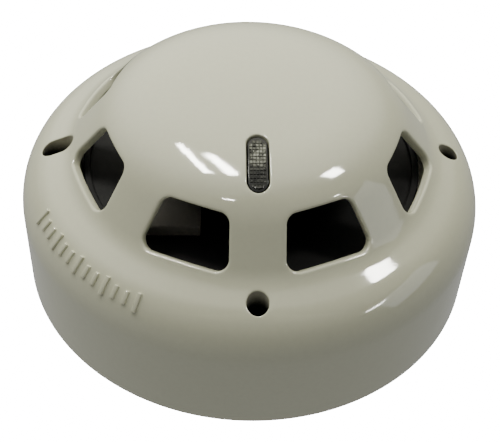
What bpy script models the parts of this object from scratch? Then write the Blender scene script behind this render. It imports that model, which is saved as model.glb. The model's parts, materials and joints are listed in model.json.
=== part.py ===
"""Electronic heat detector: a plug-in sensor head on a ceiling base, as separate pieces.

Units are metres and +Z is up. The origin is the centre of the base's back face, the face
that lies on the ceiling, and +Z points from there into the room. The indicator side is -Y.
Azimuths are in degrees from -Y towards +X, which is anticlockwise seen from the room, and
a positive turn about +Z increases them.
"""

import math

import bmesh
import bpy
from mathutils import Matrix, Vector

MM = 0.001
ROUND_STEPS = 48
SMALL_SIDES = 16

# Overall size
COVER_RADIUS = 50.5 * MM
OVERALL_HEIGHT = 48.5 * MM

# Play left between pieces that touch, and wider play where a piece passes another
TOUCH_GAP = 0.3 * MM
PASS_GAP = 0.5 * MM

# Cover shell: its outline from the skirt up, as bends joined by straight stretches.
# A tilt is the surface's slope from level.
COVER_WALL = 2.0 * MM
CEILING_GAP = 0.6 * MM
SKIRT_EDGE = 0.8 * MM
SHOULDER_BEND = 11.1 * MM
COLLAR_TILT = math.radians(24.4)
COLLAR_LENGTH = 2.6 * MM
THROAT_BEND = 9.4 * MM
CONE_TILT = math.radians(51.3)
CONE_LENGTH = 7.9 * MM
DOME_BEND = 18.5 * MM
DOME_TILT = math.radians(21.6)
CROWN_BEND = 32.2 * MM
CROWN_TILT = math.radians(8.2)
BEND_STEP = math.radians(12.0)

# Air windows in the cone
WINDOW_COUNT = 8
WINDOW_RISE = 6.7 * MM
WINDOW_DROP = 4.6 * MM
WINDOW_TOP_WIDTH = 13.6 * MM
WINDOW_FOOT_WIDTH = 19.1 * MM
WINDOW_CORNER = 2.4 * MM

# Screw wells and the lock slot in the collar
WELL_INSET = 7.15 * MM
WELL_AZIMUTHS = (0.0, 90.0, 180.0)
WELL_BORE = 2.35 * MM
WELL_WALL = 1.5 * MM
WELL_FLOOR = 2.0 * MM
LOCK_INSET = 8.3 * MM
LOCK_AZIMUTH = 270.0
LOCK_SLOT_LENGTH = 7.0 * MM
LOCK_SLOT_WIDTH = 4.6 * MM

# Indicator in the dome
LENS_INSET = 29.0 * MM
LENS_LENGTH = 12.8 * MM
LENS_WIDTH = 4.5 * MM
LENS_SINK = 0.25 * MM
LENS_DEPTH = 2.6 * MM
GUIDE_RADIUS = 1.6 * MM
GUIDE_OFFSET = 4.0 * MM
LED_RADIUS = 1.5 * MM
LED_HEIGHT = 4.5 * MM

# Mounting base
BASE_PLAY = 1.7 * MM
BASE_THICKNESS = 2.5 * MM
BASE_EDGE = 0.4 * MM
CABLE_RADIUS = 12.0 * MM
RING_WIDTH = 2.0 * MM
RING_HEIGHT = 5.8 * MM
FIXING_RADIUS = 28.5 * MM
FIXING_LENGTH = 10.0 * MM
FIXING_WIDTH = 4.8 * MM

# Bayonet: three lugs on the head turn in under three ledges on the base
LUG_AZIMUTHS = (60.0, 180.0, 300.0)
LUG_HALF_ANGLE = 8.0
LEDGE_HALF_ANGLE = 12.0
TWIST_ANGLE = 22.0
STOP_PLAY_ANGLE = 0.6
STOP_ANGLE = 2.5
LEDGE_WIDTH = 2.8 * MM
LEDGE_THICKNESS = 2.0 * MM
LEDGE_SETBACK = 0.3 * MM
LUG_WALL = 2.3 * MM
LUG_LIFT = 0.7 * MM
LUG_PLAY = 0.4 * MM
LUG_SIDE_PLAY = 0.6 * MM

# Terminals: contact strip, clamp plate and screw, four times
TERMINAL_AZIMUTHS = (45.0, 135.0, 225.0, 315.0)
STRIP_WIDTH = 7.0 * MM
STRIP_THICKNESS = 0.6 * MM
STRIP_FLAT = 8.0 * MM
STRIP_LEAF = 7.5 * MM
STRIP_RISE = 4.6 * MM
STRIP_LIP = 0.8 * MM
KNEE_ALONG = 0.35
KNEE_RISE = 0.45
CLAMP_SIZE = 7.4 * MM
CLAMP_THICKNESS = 1.0 * MM
TERMINAL_SHANK = 1.75 * MM
TERMINAL_HEAD = 3.3 * MM
TERMINAL_HEAD_HEIGHT = 2.0 * MM

# Head chassis
HOUSING_PLAY = 0.7 * MM
HOUSING_THICKNESS = 2.0 * MM
POST_RADIUS = 2.8 * MM
POST_DEPTH = 4.2 * MM
STANDOFF_RADIUS = 2.6 * MM
STANDOFF_HEIGHT = 4.3 * MM
STANDOFF_OFFSET = 28.0 * MM
STANDOFF_AZIMUTHS = (90.0, 270.0, 180.0)

# Head contacts
BLADE_LENGTH = 9.0 * MM
BLADE_WIDTH = 7.0 * MM
BLADE_THICKNESS = 0.8 * MM
PIN_RADIUS = 0.7 * MM
PIN_INSET = 1.5 * MM
PIN_TAIL = 0.8 * MM

# Circuit board
BOARD_RADIUS = 32.5 * MM
BOARD_THICKNESS = 1.6 * MM

# Screw heads, as shares of the head's radius and height
HEAD_FLAT = 0.8
RECESS_LENGTH = 1.3
RECESS_WIDTH = 0.3
RECESS_DEPTH = 0.4

# Screws inside the head
COVER_SHANK = 1.25 * MM
COVER_HEAD = 2.0 * MM
COVER_HEAD_HEIGHT = 1.8 * MM
COVER_SCREW_REACH = 7.1 * MM
BOARD_SHANK = 1.1 * MM
BOARD_HEAD = 2.2 * MM
BOARD_HEAD_HEIGHT = 1.4 * MM
BOARD_SCREW_REACH = 5.0 * MM
LOCK_SHANK = 1.5 * MM
LOCK_LENGTH = 6.0 * MM
LOCK_TIP = 0.3 * MM
LOCK_SOCKET = 0.87 * MM
LOCK_SOCKET_DEPTH = 2.0 * MM
LOCK_TRAVEL = 2.6 * MM
LAND_HEIGHT = 2.4 * MM
LAND_WIDTH = 4.5 * MM
LAND_HALF_ANGLE = 6.0

# Black inner chamber round the sensor
CHAMBER_RADIUS = 21.0 * MM
CHAMBER_WALL = 1.8 * MM
CHAMBER_DROP = 6.0 * MM
CHAMBER_SLOTS = 16
CHAMBER_SLOT_WIDTH = 4.2 * MM
CHAMBER_SLOT_FOOT = 2.0 * MM
TRAY_THICKNESS = 1.5 * MM
TRAY_LIP = 1.1 * MM
LEG_RADIUS = 1.8 * MM
LEG_SETBACK = 0.4 * MM
SENSOR_HOLE = 2.6 * MM

# Sensor and the parts on the board
BEAD_RADIUS = 1.4 * MM
LEAD_RADIUS = 0.3 * MM
LEAD_SPREAD = 0.75 * MM
TALLEST_PART = 7.5 * MM
CAN_RADIUS = 3.2 * MM
FILM_SIZE = (7.2 * MM, 3.2 * MM, 6.0 * MM)
CHIP_SIZE = (10.0 * MM, 7.5 * MM, 2.3 * MM)
BRIDGE_SIZE = (8.4 * MM, 6.4 * MM, 3.2 * MM)
RESISTOR_SIZE = (3.2 * MM, 1.6 * MM, 0.6 * MM)
CERAMIC_SIZE = (3.2 * MM, 1.6 * MM, 1.3 * MM)
TRANSISTOR_RADIUS = 2.4 * MM
TRANSISTOR_HEIGHT = 4.6 * MM
VARISTOR_RADIUS = 3.4 * MM
VARISTOR_THICKNESS = 2.6 * MM
REED_RADIUS = 1.2 * MM
REED_LENGTH = 14.0 * MM

# Levels, from the back face up
STRIP_Z = BASE_THICKNESS + TOUCH_GAP
CLAMP_Z = STRIP_Z + STRIP_THICKNESS + TOUCH_GAP
TERMINAL_HEAD_Z = CLAMP_Z + CLAMP_THICKNESS + TOUCH_GAP
LEAF_TOP_Z = STRIP_Z + STRIP_THICKNESS + STRIP_RISE
BLADE_Z = LEAF_TOP_Z + TOUCH_GAP
HOUSING_Z = BLADE_Z + BLADE_THICKNESS + TOUCH_GAP
HOUSING_TOP_Z = HOUSING_Z + HOUSING_THICKNESS
BOARD_Z = HOUSING_TOP_Z + STANDOFF_HEIGHT + TOUCH_GAP
BOARD_TOP_Z = BOARD_Z + BOARD_THICKNESS
PART_Z = BOARD_TOP_Z + TOUCH_GAP
TRAY_Z = PART_Z + TALLEST_PART + PASS_GAP
TRAY_TOP_Z = TRAY_Z + TRAY_THICKNESS
CHAMBER_TOP_Z = OVERALL_HEIGHT - CHAMBER_DROP
WELL_FOOT_Z = HOUSING_TOP_Z + TOUCH_GAP
LAND_TOP_Z = BASE_THICKNESS + LAND_HEIGHT

# Radii, from the skirt in
CAVITY_RADIUS = COVER_RADIUS - COVER_WALL
BASE_RADIUS = CAVITY_RADIUS - BASE_PLAY
HOUSING_RADIUS = CAVITY_RADIUS - HOUSING_PLAY
WELL_CIRCLE = COVER_RADIUS - WELL_INSET
LOCK_CIRCLE = COVER_RADIUS - LOCK_INSET
BOSS_RADIUS = WELL_BORE + WELL_WALL
LEDGE_RADIUS = min(WELL_CIRCLE, LOCK_CIRCLE) - POST_RADIUS - LUG_SIDE_PLAY
RING_RADIUS = LEDGE_RADIUS - LEDGE_WIDTH
LUG_INNER = RING_RADIUS + LUG_PLAY
LUG_OUTER = LEDGE_RADIUS + LUG_SIDE_PLAY
LENS_CIRCLE = COVER_RADIUS - LENS_INSET
GUIDE_CIRCLE = LENS_CIRCLE + GUIDE_OFFSET
TERMINAL_CIRCLE = RING_RADIUS - RING_WIDTH - PASS_GAP - STRIP_FLAT / 2
LEAF_CIRCLE = TERMINAL_CIRCLE - STRIP_FLAT / 2 - STRIP_LEAF
PIN_CIRCLE = LEAF_CIRCLE + BLADE_LENGTH - PIN_INSET


# ---------------------------------------------------------------- helpers

def clear_scene():
    for old in list(bpy.data.objects):
        bpy.data.objects.remove(old, do_unlink=True)


def new_collection(name):
    collection = bpy.data.collections.new(name)
    bpy.context.scene.collection.children.link(collection)
    return collection


def polar(radius, azimuth, height=0.0):
    angle = math.radians(azimuth)
    return Vector((radius * math.sin(angle), -radius * math.cos(angle), height))


def material(name, hex_colour, roughness, metallic=0.0):
    made = bpy.data.materials.new(name)
    made.use_nodes = True
    shader = made.node_tree.nodes["Principled BSDF"]
    channels = [int(hex_colour[start:start + 2], 16) / 255 for start in (0, 2, 4)]
    shader.inputs["Base Color"].default_value = [channel ** 2.2 for channel in channels] + [1.0]
    shader.inputs["Roughness"].default_value = roughness
    shader.inputs["Metallic"].default_value = metallic
    return made


def add_object(name, bm, finish=None, smooth=True):
    """A mesh object: a part where it has a finish, otherwise a shape that cuts or joins one."""
    mesh = bpy.data.meshes.new(name)
    bm.to_mesh(mesh)
    bm.free()
    thing = bpy.data.objects.new(name, mesh)
    if finish is None:
        TOOLS.objects.link(thing)
        thing.hide_render = True
        thing.display_type = "WIRE"
        return thing
    PARTS.objects.link(thing)
    mesh.materials.append(finish)
    if smooth:
        mesh.shade_smooth()
        mesh.set_sharp_from_angle(angle=math.radians(35))
    return thing


def place(thing, location=(0.0, 0.0, 0.0), azimuth=0.0, parent=None):
    thing.location = location
    thing.rotation_euler = (0.0, 0.0, math.radians(azimuth))
    thing.parent = parent
    return thing


def combine(thing, other, operation):
    modifier = thing.modifiers.new(other.name, "BOOLEAN")
    modifier.operation = operation
    modifier.solver = "EXACT"
    modifier.object = other


def cut(thing, *others):
    for other in others:
        combine(thing, other, "DIFFERENCE")


def join(thing, *others):
    for other in others:
        combine(thing, other, "UNION")


def block_bm(length, width, height, foot=0.0):
    """A box standing on the level foot, with length along X and width along Y."""
    bm = bmesh.new()
    bmesh.ops.create_cube(bm, size=1.0)
    bmesh.ops.scale(bm, vec=(length, width, height), verts=bm.verts)
    bmesh.ops.translate(bm, vec=(0.0, 0.0, foot + height / 2), verts=bm.verts)
    return bm


def round_upright_edges(bm, radius, segments):
    upright = [edge for edge in bm.edges
               if abs(edge.verts[0].co.z - edge.verts[1].co.z) > 0.5 * edge.calc_length()]
    bmesh.ops.bevel(bm, geom=upright, offset=radius, offset_type="OFFSET", segments=segments,
                    profile=0.5, affect="EDGES", material=-1)


def obround_bm(length, width, foot, top):
    """An upright slot shape, long across Y, with round ends."""
    bm = block_bm(width, length, top - foot, foot)
    round_upright_edges(bm, width / 2 - 0.02 * MM, 5)
    return bm


def rod_bm(radius, foot, top, sides=SMALL_SIDES):
    bm = bmesh.new()
    bmesh.ops.create_cone(bm, cap_ends=True, segments=sides, radius1=radius, radius2=radius,
                          depth=top - foot)
    bmesh.ops.translate(bm, vec=(0.0, 0.0, (foot + top) / 2), verts=bm.verts)
    return bm


def turned(name, outline, finish=None, closed=False, steps=ROUND_STEPS):
    """A turned solid. The outline runs down its outer side, and is a loop where closed."""
    bm = bmesh.new()
    points = [bm.verts.new((radius, 0.0, height)) for radius, height in outline]
    for start, end in zip(points, points[1:]):
        bm.edges.new((start, end))
    if closed:
        bm.edges.new((points[-1], points[0]))
    thing = add_object(name, bm, finish, smooth=False)
    screw = thing.modifiers.new("turn", "SCREW")
    screw.steps = steps
    screw.render_steps = steps
    screw.use_merge_vertices = True
    screw.merge_threshold = 0.00001
    screw.use_smooth_shade = True
    return thing


def arc_block(name, corners, start, end, steps=4):
    """A bar bent round the Z axis between two azimuths, with its section given as corners."""
    bm = bmesh.new()
    section = bm.faces.new([bm.verts.new(polar(radius, start, height)) for radius, height in corners])
    bmesh.ops.spin(bm, geom=[section, *section.edges, *section.verts], cent=(0.0, 0.0, 0.0),
                   axis=(0.0, 0.0, 1.0), angle=math.radians(end - start), steps=steps)
    bmesh.ops.holes_fill(bm, edges=[edge for edge in bm.edges if edge.is_boundary], sides=0)
    bmesh.ops.recalc_face_normals(bm, faces=bm.faces)
    return add_object(name, bm)


def oblong(inner, outer, foot, top):
    return (inner, foot), (outer, foot), (outer, top), (inner, top)


def tool_rod(name, radius, foot, top, circle=0.0, azimuth=0.0, sides=SMALL_SIDES):
    return place(add_object(name, rod_bm(radius, foot, top, sides)), polar(circle, azimuth), azimuth)


def screw_piece(name, finish, head, head_foot, head_height, shank, tip, recess):
    """A pan-head screw on the local Z axis with a cross or a slot in its head."""
    head_top = head_foot + head_height
    recess_foot = head_top - RECESS_DEPTH * head_height
    outline = ((0.0, head_top), (HEAD_FLAT * head, head_top), (head, recess_foot),
               (head, head_foot), (shank, head_foot), (shank, tip), (0.0, tip))
    thing = turned(name, outline, finish, steps=SMALL_SIDES)
    for turn in recess:
        bar = block_bm(RECESS_LENGTH * head, RECESS_WIDTH * head, head_height, recess_foot)
        cut(thing, place(add_object(name + "_recess", bar), azimuth=turn))
    return thing


# ---------------------------------------------------------------- cover

def cover_outline(inset):
    """The cover's outline moved inward by inset, from the crown down to the skirt's bend."""
    def outward(tilt):
        return Vector((math.sin(tilt), math.cos(tilt)))

    run = ((SHOULDER_BEND, COLLAR_TILT, COLLAR_LENGTH), (-THROAT_BEND, CONE_TILT, CONE_LENGTH),
           (DOME_BEND, DOME_TILT, 0.0), (CROWN_BEND, CROWN_TILT, 0.0))
    at = Vector((COVER_RADIUS, 0.0))
    tilt = math.pi / 2
    points = [at - inset * outward(tilt)]
    for bend, end_tilt, straight in run:
        centre = at - bend * outward(tilt)
        steps = max(2, round(abs(end_tilt - tilt) / BEND_STEP))
        for step in range(1, steps + 1):
            between = tilt + (end_tilt - tilt) * step / steps
            points.append(centre + (bend - inset) * outward(between))
        at = centre + bend * outward(end_tilt)
        tilt = end_tilt
        if straight:
            at = at + straight * Vector((-math.cos(tilt), math.sin(tilt)))
            points.append(at - inset * outward(tilt))
    crown = at.x / math.sin(tilt)
    centre = at - crown * outward(tilt)
    points.append(centre + (crown - inset) * outward(tilt / 2))
    points.append(centre + (crown - inset) * outward(0.0))
    lift = OVERALL_HEIGHT - (centre.y + crown)
    return [(max(0.0, point.x), point.y + lift) for point in reversed(points)]


def outline_radius(inset, height):
    """The radius of the cover's outline, moved inward by inset, at a height."""
    outline = cover_outline(inset)
    for upper, lower in zip(outline, outline[1:]):
        if lower[1] <= height <= upper[1]:
            share = (upper[1] - height) / (upper[1] - lower[1])
            return upper[0] + share * (lower[0] - upper[0])
    return outline[-1][0]


def tray_radius():
    """The tray's radius: inside the screw bosses and the lock slot, and inside the cover at its lip."""
    inside_bosses = min(WELL_CIRCLE - BOSS_RADIUS, LOCK_CIRCLE - LOCK_SLOT_LENGTH / 2 - WELL_WALL)
    inside_cover = outline_radius(COVER_WALL, TRAY_TOP_Z + TRAY_LIP)
    return min(inside_bosses, inside_cover) - PASS_GAP


def leg_circle():
    return tray_radius() - LEG_RADIUS - LEG_SETBACK


def cone_middle():
    """Radius and height of the middle of the cone's straight stretch."""
    outline = cover_outline(0.0)
    misfit = []
    for upper, lower in zip(outline, outline[1:]):
        tilt = math.atan2(upper[1] - lower[1], lower[0] - upper[0])
        off_length = abs(math.dist(upper, lower) - CONE_LENGTH) / CONE_LENGTH
        misfit.append((abs(tilt - CONE_TILT) + off_length, upper, lower))
    upper, lower = min(misfit)[1:]
    return (upper[0] + lower[0]) / 2, (upper[1] + lower[1]) / 2


def window_tools():
    """Trapezoid prisms square to the cone, one for each air window."""
    radius, height = cone_middle()
    tools = []
    for number in range(WINDOW_COUNT):
        bm = block_bm(1.0, WINDOW_RISE + WINDOW_DROP, 6 * COVER_WALL, -4 * COVER_WALL)
        for vert in bm.verts:
            at_top = vert.co.y > 0
            vert.co.x *= WINDOW_TOP_WIDTH if at_top else WINDOW_FOOT_WIDTH
            vert.co.y += (WINDOW_RISE - WINDOW_DROP) / 2
        round_upright_edges(bm, WINDOW_CORNER, 3)
        tilt = Matrix.Rotation(CONE_TILT, 4, "X")
        bmesh.ops.transform(bm, matrix=tilt, verts=bm.verts)
        azimuth = (number + 0.5) * 360.0 / WINDOW_COUNT
        tools.append(place(add_object("window_tool_%d" % (number + 1), bm), polar(radius, azimuth, height),
                           azimuth))
    return tools


def build_cover(finish, head):
    outside = cover_outline(0.0)
    outside += [(COVER_RADIUS, CEILING_GAP + SKIRT_EDGE), (COVER_RADIUS - SKIRT_EDGE, CEILING_GAP),
                (0.0, CEILING_GAP)]
    cover = place(turned("outer_cover", outside, finish), parent=head)

    inside = cover_outline(COVER_WALL)
    below = -COVER_WALL
    inside += [(CAVITY_RADIUS, below), (0.0, below)]
    cavity = turned("cavity_tool", inside)
    for azimuth in WELL_AZIMUTHS:
        cut(cavity, tool_rod("boss_tool_%d" % azimuth, BOSS_RADIUS, WELL_FOOT_Z, OVERALL_HEIGHT,
                             WELL_CIRCLE, azimuth))
    slot_boss = obround_bm(LOCK_SLOT_LENGTH + 2 * WELL_WALL, LOCK_SLOT_WIDTH + 2 * WELL_WALL,
                           WELL_FOOT_Z, OVERALL_HEIGHT)
    cut(cavity, place(add_object("slot_boss_tool", slot_boss), polar(LOCK_CIRCLE, LOCK_AZIMUTH),
                      LOCK_AZIMUTH))
    cut(cover, cavity, *window_tools())
    for azimuth in WELL_AZIMUTHS:
        cut(cover, tool_rod("well_tool_%d" % azimuth, WELL_BORE, WELL_FOOT_Z + WELL_FLOOR,
                            OVERALL_HEIGHT, WELL_CIRCLE, azimuth))
        cut(cover, tool_rod("well_hole_%d" % azimuth, COVER_SHANK + TOUCH_GAP, 0.0,
                            WELL_FOOT_Z + 2 * WELL_FLOOR, WELL_CIRCLE, azimuth))
    lock_slot = obround_bm(LOCK_SLOT_LENGTH, LOCK_SLOT_WIDTH, 0.0, OVERALL_HEIGHT)
    cut(cover, place(add_object("lock_slot_tool", lock_slot), polar(LOCK_CIRCLE, LOCK_AZIMUTH),
                     LOCK_AZIMUTH))
    lens_slot = obround_bm(LENS_LENGTH, LENS_WIDTH, CHAMBER_TOP_Z - CHAMBER_DROP, 2 * OVERALL_HEIGHT)
    cut(cover, place(add_object("lens_slot_tool", lens_slot), polar(LENS_CIRCLE, 0.0)))


def build_lens(finish, head):
    """The indicator's window, with a round light guide down to the lamp on the board."""
    bm = obround_bm(LENS_LENGTH - 2 * TOUCH_GAP, LENS_WIDTH - 2 * TOUCH_GAP, OVERALL_HEIGHT / 2,
                    2 * OVERALL_HEIGHT)
    lens = place(add_object("indicator_lens", bm, finish), polar(LENS_CIRCLE, 0.0), parent=head)
    outer_skin = cover_outline(LENS_SINK)
    inner_skin = cover_outline(LENS_DEPTH)
    skin = [*outer_skin, *reversed(inner_skin[1:])]
    skin_tool = turned("lens_skin_tool", [*skin, inner_skin[0]])
    combine(lens, skin_tool, "INTERSECT")
    guide_foot = PART_Z + LED_HEIGHT + TOUCH_GAP
    guide_top = OVERALL_HEIGHT - LENS_DEPTH - CHAMBER_WALL
    join(lens, tool_rod("guide_tool", GUIDE_RADIUS, guide_foot, guide_top, GUIDE_CIRCLE, 0.0, 12))


# ---------------------------------------------------------------- base

def build_base(finish):
    ring_inner = RING_RADIUS - RING_WIDTH
    ring_top = BASE_THICKNESS + RING_HEIGHT
    outline = ((CABLE_RADIUS, BASE_THICKNESS), (ring_inner, BASE_THICKNESS), (ring_inner, ring_top),
               (RING_RADIUS, ring_top), (RING_RADIUS, BASE_THICKNESS),
               (BASE_RADIUS - BASE_EDGE, BASE_THICKNESS), (BASE_RADIUS, BASE_THICKNESS - BASE_EDGE),
               (BASE_RADIUS, 0.0), (CABLE_RADIUS, 0.0))
    base = turned("mounting_base", outline, finish, closed=True)
    root = RING_RADIUS - RING_WIDTH / 2
    ledge_foot = ring_top - LEDGE_SETBACK - LEDGE_THICKNESS
    stop_foot = BASE_THICKNESS / 2
    stop_outer = LEDGE_RADIUS - LEDGE_SETBACK
    for azimuth in LUG_AZIMUTHS:
        join(base, arc_block("ledge_tool_%d" % azimuth,
                             oblong(root, LEDGE_RADIUS, ledge_foot, ledge_foot + LEDGE_THICKNESS),
                             azimuth - LEDGE_HALF_ANGLE, azimuth + LEDGE_HALF_ANGLE))
        locked_side = azimuth - LUG_HALF_ANGLE - STOP_PLAY_ANGLE
        free_side = azimuth + LUG_HALF_ANGLE + TWIST_ANGLE + STOP_PLAY_ANGLE
        join(base, arc_block("locked_stop_%d" % azimuth,
                             oblong(root, stop_outer, stop_foot, ledge_foot + LEDGE_THICKNESS / 2),
                             locked_side - STOP_ANGLE, locked_side, 1))
        join(base, arc_block("free_stop_%d" % azimuth, oblong(root, stop_outer, stop_foot, ledge_foot),
                             free_side, free_side + STOP_ANGLE, 1))
    join(base, arc_block("lock_land",
                         oblong(LOCK_CIRCLE - LAND_WIDTH / 2, LOCK_CIRCLE + LAND_WIDTH / 2,
                                stop_foot, LAND_TOP_Z),
                         LOCK_AZIMUTH - LAND_HALF_ANGLE, LOCK_AZIMUTH + LAND_HALF_ANGLE))
    for azimuth in (90.0, 270.0):
        slot = obround_bm(FIXING_LENGTH, FIXING_WIDTH, -BASE_THICKNESS, 2 * BASE_THICKNESS)
        cut(base, place(add_object("fixing_tool_%d" % azimuth, slot), polar(FIXING_RADIUS, azimuth),
                        azimuth))
    for azimuth in TERMINAL_AZIMUTHS:
        cut(base, tool_rod("thread_tool_%d" % azimuth, TERMINAL_SHANK + TOUCH_GAP, -BASE_THICKNESS,
                           2 * BASE_THICKNESS, TERMINAL_CIRCLE, azimuth))


def strip_bm():
    """A contact strip with a flat for the wire and a leaf that rises inward, along Y."""
    flat_z = STRIP_Z + STRIP_THICKNESS / 2
    top_z = LEAF_TOP_Z - STRIP_THICKNESS / 2
    half = STRIP_FLAT / 2
    side = [(-half, flat_z), (half, flat_z),
            (half + KNEE_ALONG * STRIP_LEAF, flat_z + KNEE_RISE * STRIP_RISE),
            (half + 2 * KNEE_ALONG * STRIP_LEAF, top_z), (half + STRIP_LEAF, top_z),
            (half + STRIP_LEAF + STRIP_LIP, top_z - STRIP_LIP)]
    bm = bmesh.new()
    start = [bm.verts.new((-STRIP_WIDTH / 2, along, height)) for along, height in side]
    edges = [bm.edges.new(pair) for pair in zip(start, start[1:])]
    swept = bmesh.ops.extrude_edge_only(bm, edges=edges)
    across = [item for item in swept["geom"] if isinstance(item, bmesh.types.BMVert)]
    bmesh.ops.translate(bm, vec=(STRIP_WIDTH, 0.0, 0.0), verts=across)
    bmesh.ops.recalc_face_normals(bm, faces=bm.faces)
    return bm


def build_terminals(strip_finish, screw_finish):
    for number, azimuth in enumerate(TERMINAL_AZIMUTHS, start=1):
        at = polar(TERMINAL_CIRCLE, azimuth)
        strip = place(add_object("terminal_contact_%d" % number, strip_bm(), strip_finish, smooth=False),
                      at, azimuth)
        solid = strip.modifiers.new("thickness", "SOLIDIFY")
        solid.thickness = STRIP_THICKNESS
        solid.offset = 0.0
        cut(strip, tool_rod("strip_hole_%d" % number, TERMINAL_SHANK + TOUCH_GAP, 0.0,
                            CLAMP_Z, TERMINAL_CIRCLE, azimuth))
        clamp_bm = block_bm(CLAMP_SIZE, CLAMP_SIZE, CLAMP_THICKNESS, CLAMP_Z)
        clamp = place(add_object("terminal_clamp_%d" % number, clamp_bm, strip_finish, smooth=False),
                      at, azimuth)
        cut(clamp, tool_rod("clamp_hole_%d" % number, TERMINAL_SHANK + TOUCH_GAP, 0.0,
                            TERMINAL_HEAD_Z, TERMINAL_CIRCLE, azimuth))
        screw = screw_piece("terminal_screw_%d" % number, screw_finish, TERMINAL_HEAD, TERMINAL_HEAD_Z,
                            TERMINAL_HEAD_HEIGHT, TERMINAL_SHANK, TOUCH_GAP, (0.0,))
        place_screw(screw, at, azimuth)


def place_screw(screw, at, azimuth, parent=None):
    """Puts a screw on its axis, with the tools that cut its recess."""
    for modifier in screw.modifiers:
        if modifier.type == "BOOLEAN":
            tool = modifier.object
            place(tool, at, math.degrees(tool.rotation_euler.z) + azimuth)
    place(screw, at, azimuth, parent)


# ---------------------------------------------------------------- head chassis

def build_housing(finish, head):
    """The head's chassis: a disc with lugs and screw posts below and board posts above."""
    outline = ((0.0, HOUSING_TOP_Z), (HOUSING_RADIUS, HOUSING_TOP_Z), (HOUSING_RADIUS, HOUSING_Z),
               (0.0, HOUSING_Z))
    housing = place(turned("lower_housing", outline, finish), parent=head)
    lug_foot = BASE_THICKNESS + LUG_LIFT
    ledge_foot = BASE_THICKNESS + RING_HEIGHT - LEDGE_SETBACK - LEDGE_THICKNESS
    into = HOUSING_THICKNESS / 2
    lug_top = ledge_foot - LUG_PLAY
    lug = ((LUG_INNER, lug_foot), (LUG_OUTER + LUG_WALL, lug_foot), (LUG_OUTER + LUG_WALL, HOUSING_Z + into),
           (LUG_OUTER, HOUSING_Z + into), (LUG_OUTER, lug_top), (LUG_INNER, lug_top))
    for azimuth in LUG_AZIMUTHS:
        join(housing, arc_block("lug_%d" % azimuth, lug, azimuth - LUG_HALF_ANGLE,
                                azimuth + LUG_HALF_ANGLE))
    for azimuth in WELL_AZIMUTHS:
        join(housing, tool_rod("post_%d" % azimuth, POST_RADIUS, HOUSING_Z - POST_DEPTH,
                               HOUSING_Z + into, WELL_CIRCLE, azimuth))
    join(housing, tool_rod("lock_post", POST_RADIUS, HOUSING_Z - POST_DEPTH, HOUSING_Z + into,
                           LOCK_CIRCLE, LOCK_AZIMUTH))
    for azimuth in STANDOFF_AZIMUTHS:
        join(housing, tool_rod("standoff_%d" % azimuth, STANDOFF_RADIUS, HOUSING_Z + into,
                               HOUSING_TOP_Z + STANDOFF_HEIGHT, STANDOFF_OFFSET, azimuth))
    for azimuth in WELL_AZIMUTHS:
        cut(housing, tool_rod("post_bore_%d" % azimuth, COVER_SHANK + TOUCH_GAP, 0.0,
                              2 * HOUSING_TOP_Z, WELL_CIRCLE, azimuth))
    cut(housing, tool_rod("lock_bore", LOCK_SHANK + TOUCH_GAP, 0.0, 2 * HOUSING_TOP_Z,
                          LOCK_CIRCLE, LOCK_AZIMUTH))
    for azimuth in STANDOFF_AZIMUTHS[:2]:
        cut(housing, tool_rod("standoff_bore_%d" % azimuth, BOARD_SHANK + TOUCH_GAP,
                              BOARD_TOP_Z - BOARD_SCREW_REACH - 2 * TOUCH_GAP, BOARD_TOP_Z,
                              STANDOFF_OFFSET, azimuth))
    for azimuth in TERMINAL_AZIMUTHS:
        cut(housing, tool_rod("pin_hole_%d" % azimuth, PIN_RADIUS + TOUCH_GAP, 0.0,
                              2 * HOUSING_TOP_Z, PIN_CIRCLE, azimuth, 12))


def build_blades(finish, head):
    """Head contacts: flat pads that ride over the base's leaves, each with a pin to the board."""
    middle = LEAF_CIRCLE + BLADE_LENGTH / 2
    for number, azimuth in enumerate(TERMINAL_AZIMUTHS, start=1):
        pad = block_bm(BLADE_WIDTH, BLADE_LENGTH, BLADE_THICKNESS, BLADE_Z)
        blade = place(add_object("contact_blade_%d" % number, pad, finish, smooth=False),
                      polar(middle, azimuth), azimuth, head)
        join(blade, tool_rod("blade_pin_%d" % number, PIN_RADIUS, BLADE_Z + BLADE_THICKNESS / 2,
                             BOARD_TOP_Z + PIN_TAIL, PIN_CIRCLE, azimuth, 12))


def build_board(finish, head):
    outline = ((0.0, BOARD_TOP_Z), (BOARD_RADIUS, BOARD_TOP_Z), (BOARD_RADIUS, BOARD_Z), (0.0, BOARD_Z))
    board = place(turned("circuit_board", outline, finish, steps=48), parent=head)
    for azimuth in STANDOFF_AZIMUTHS[:2]:
        cut(board, tool_rod("board_hole_%d" % azimuth, BOARD_SHANK + TOUCH_GAP, HOUSING_TOP_Z,
                            2 * BOARD_TOP_Z, STANDOFF_OFFSET, azimuth, 12))
    for azimuth in TERMINAL_AZIMUTHS:
        cut(board, tool_rod("board_pin_%d" % azimuth, PIN_RADIUS + TOUCH_GAP, HOUSING_TOP_Z,
                            2 * BOARD_TOP_Z, PIN_CIRCLE, azimuth, 12))
        cut(board, tool_rod("board_notch_%d" % azimuth, LEG_RADIUS + PASS_GAP, HOUSING_TOP_Z,
                            2 * BOARD_TOP_Z, leg_circle(), azimuth, 12))


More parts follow.
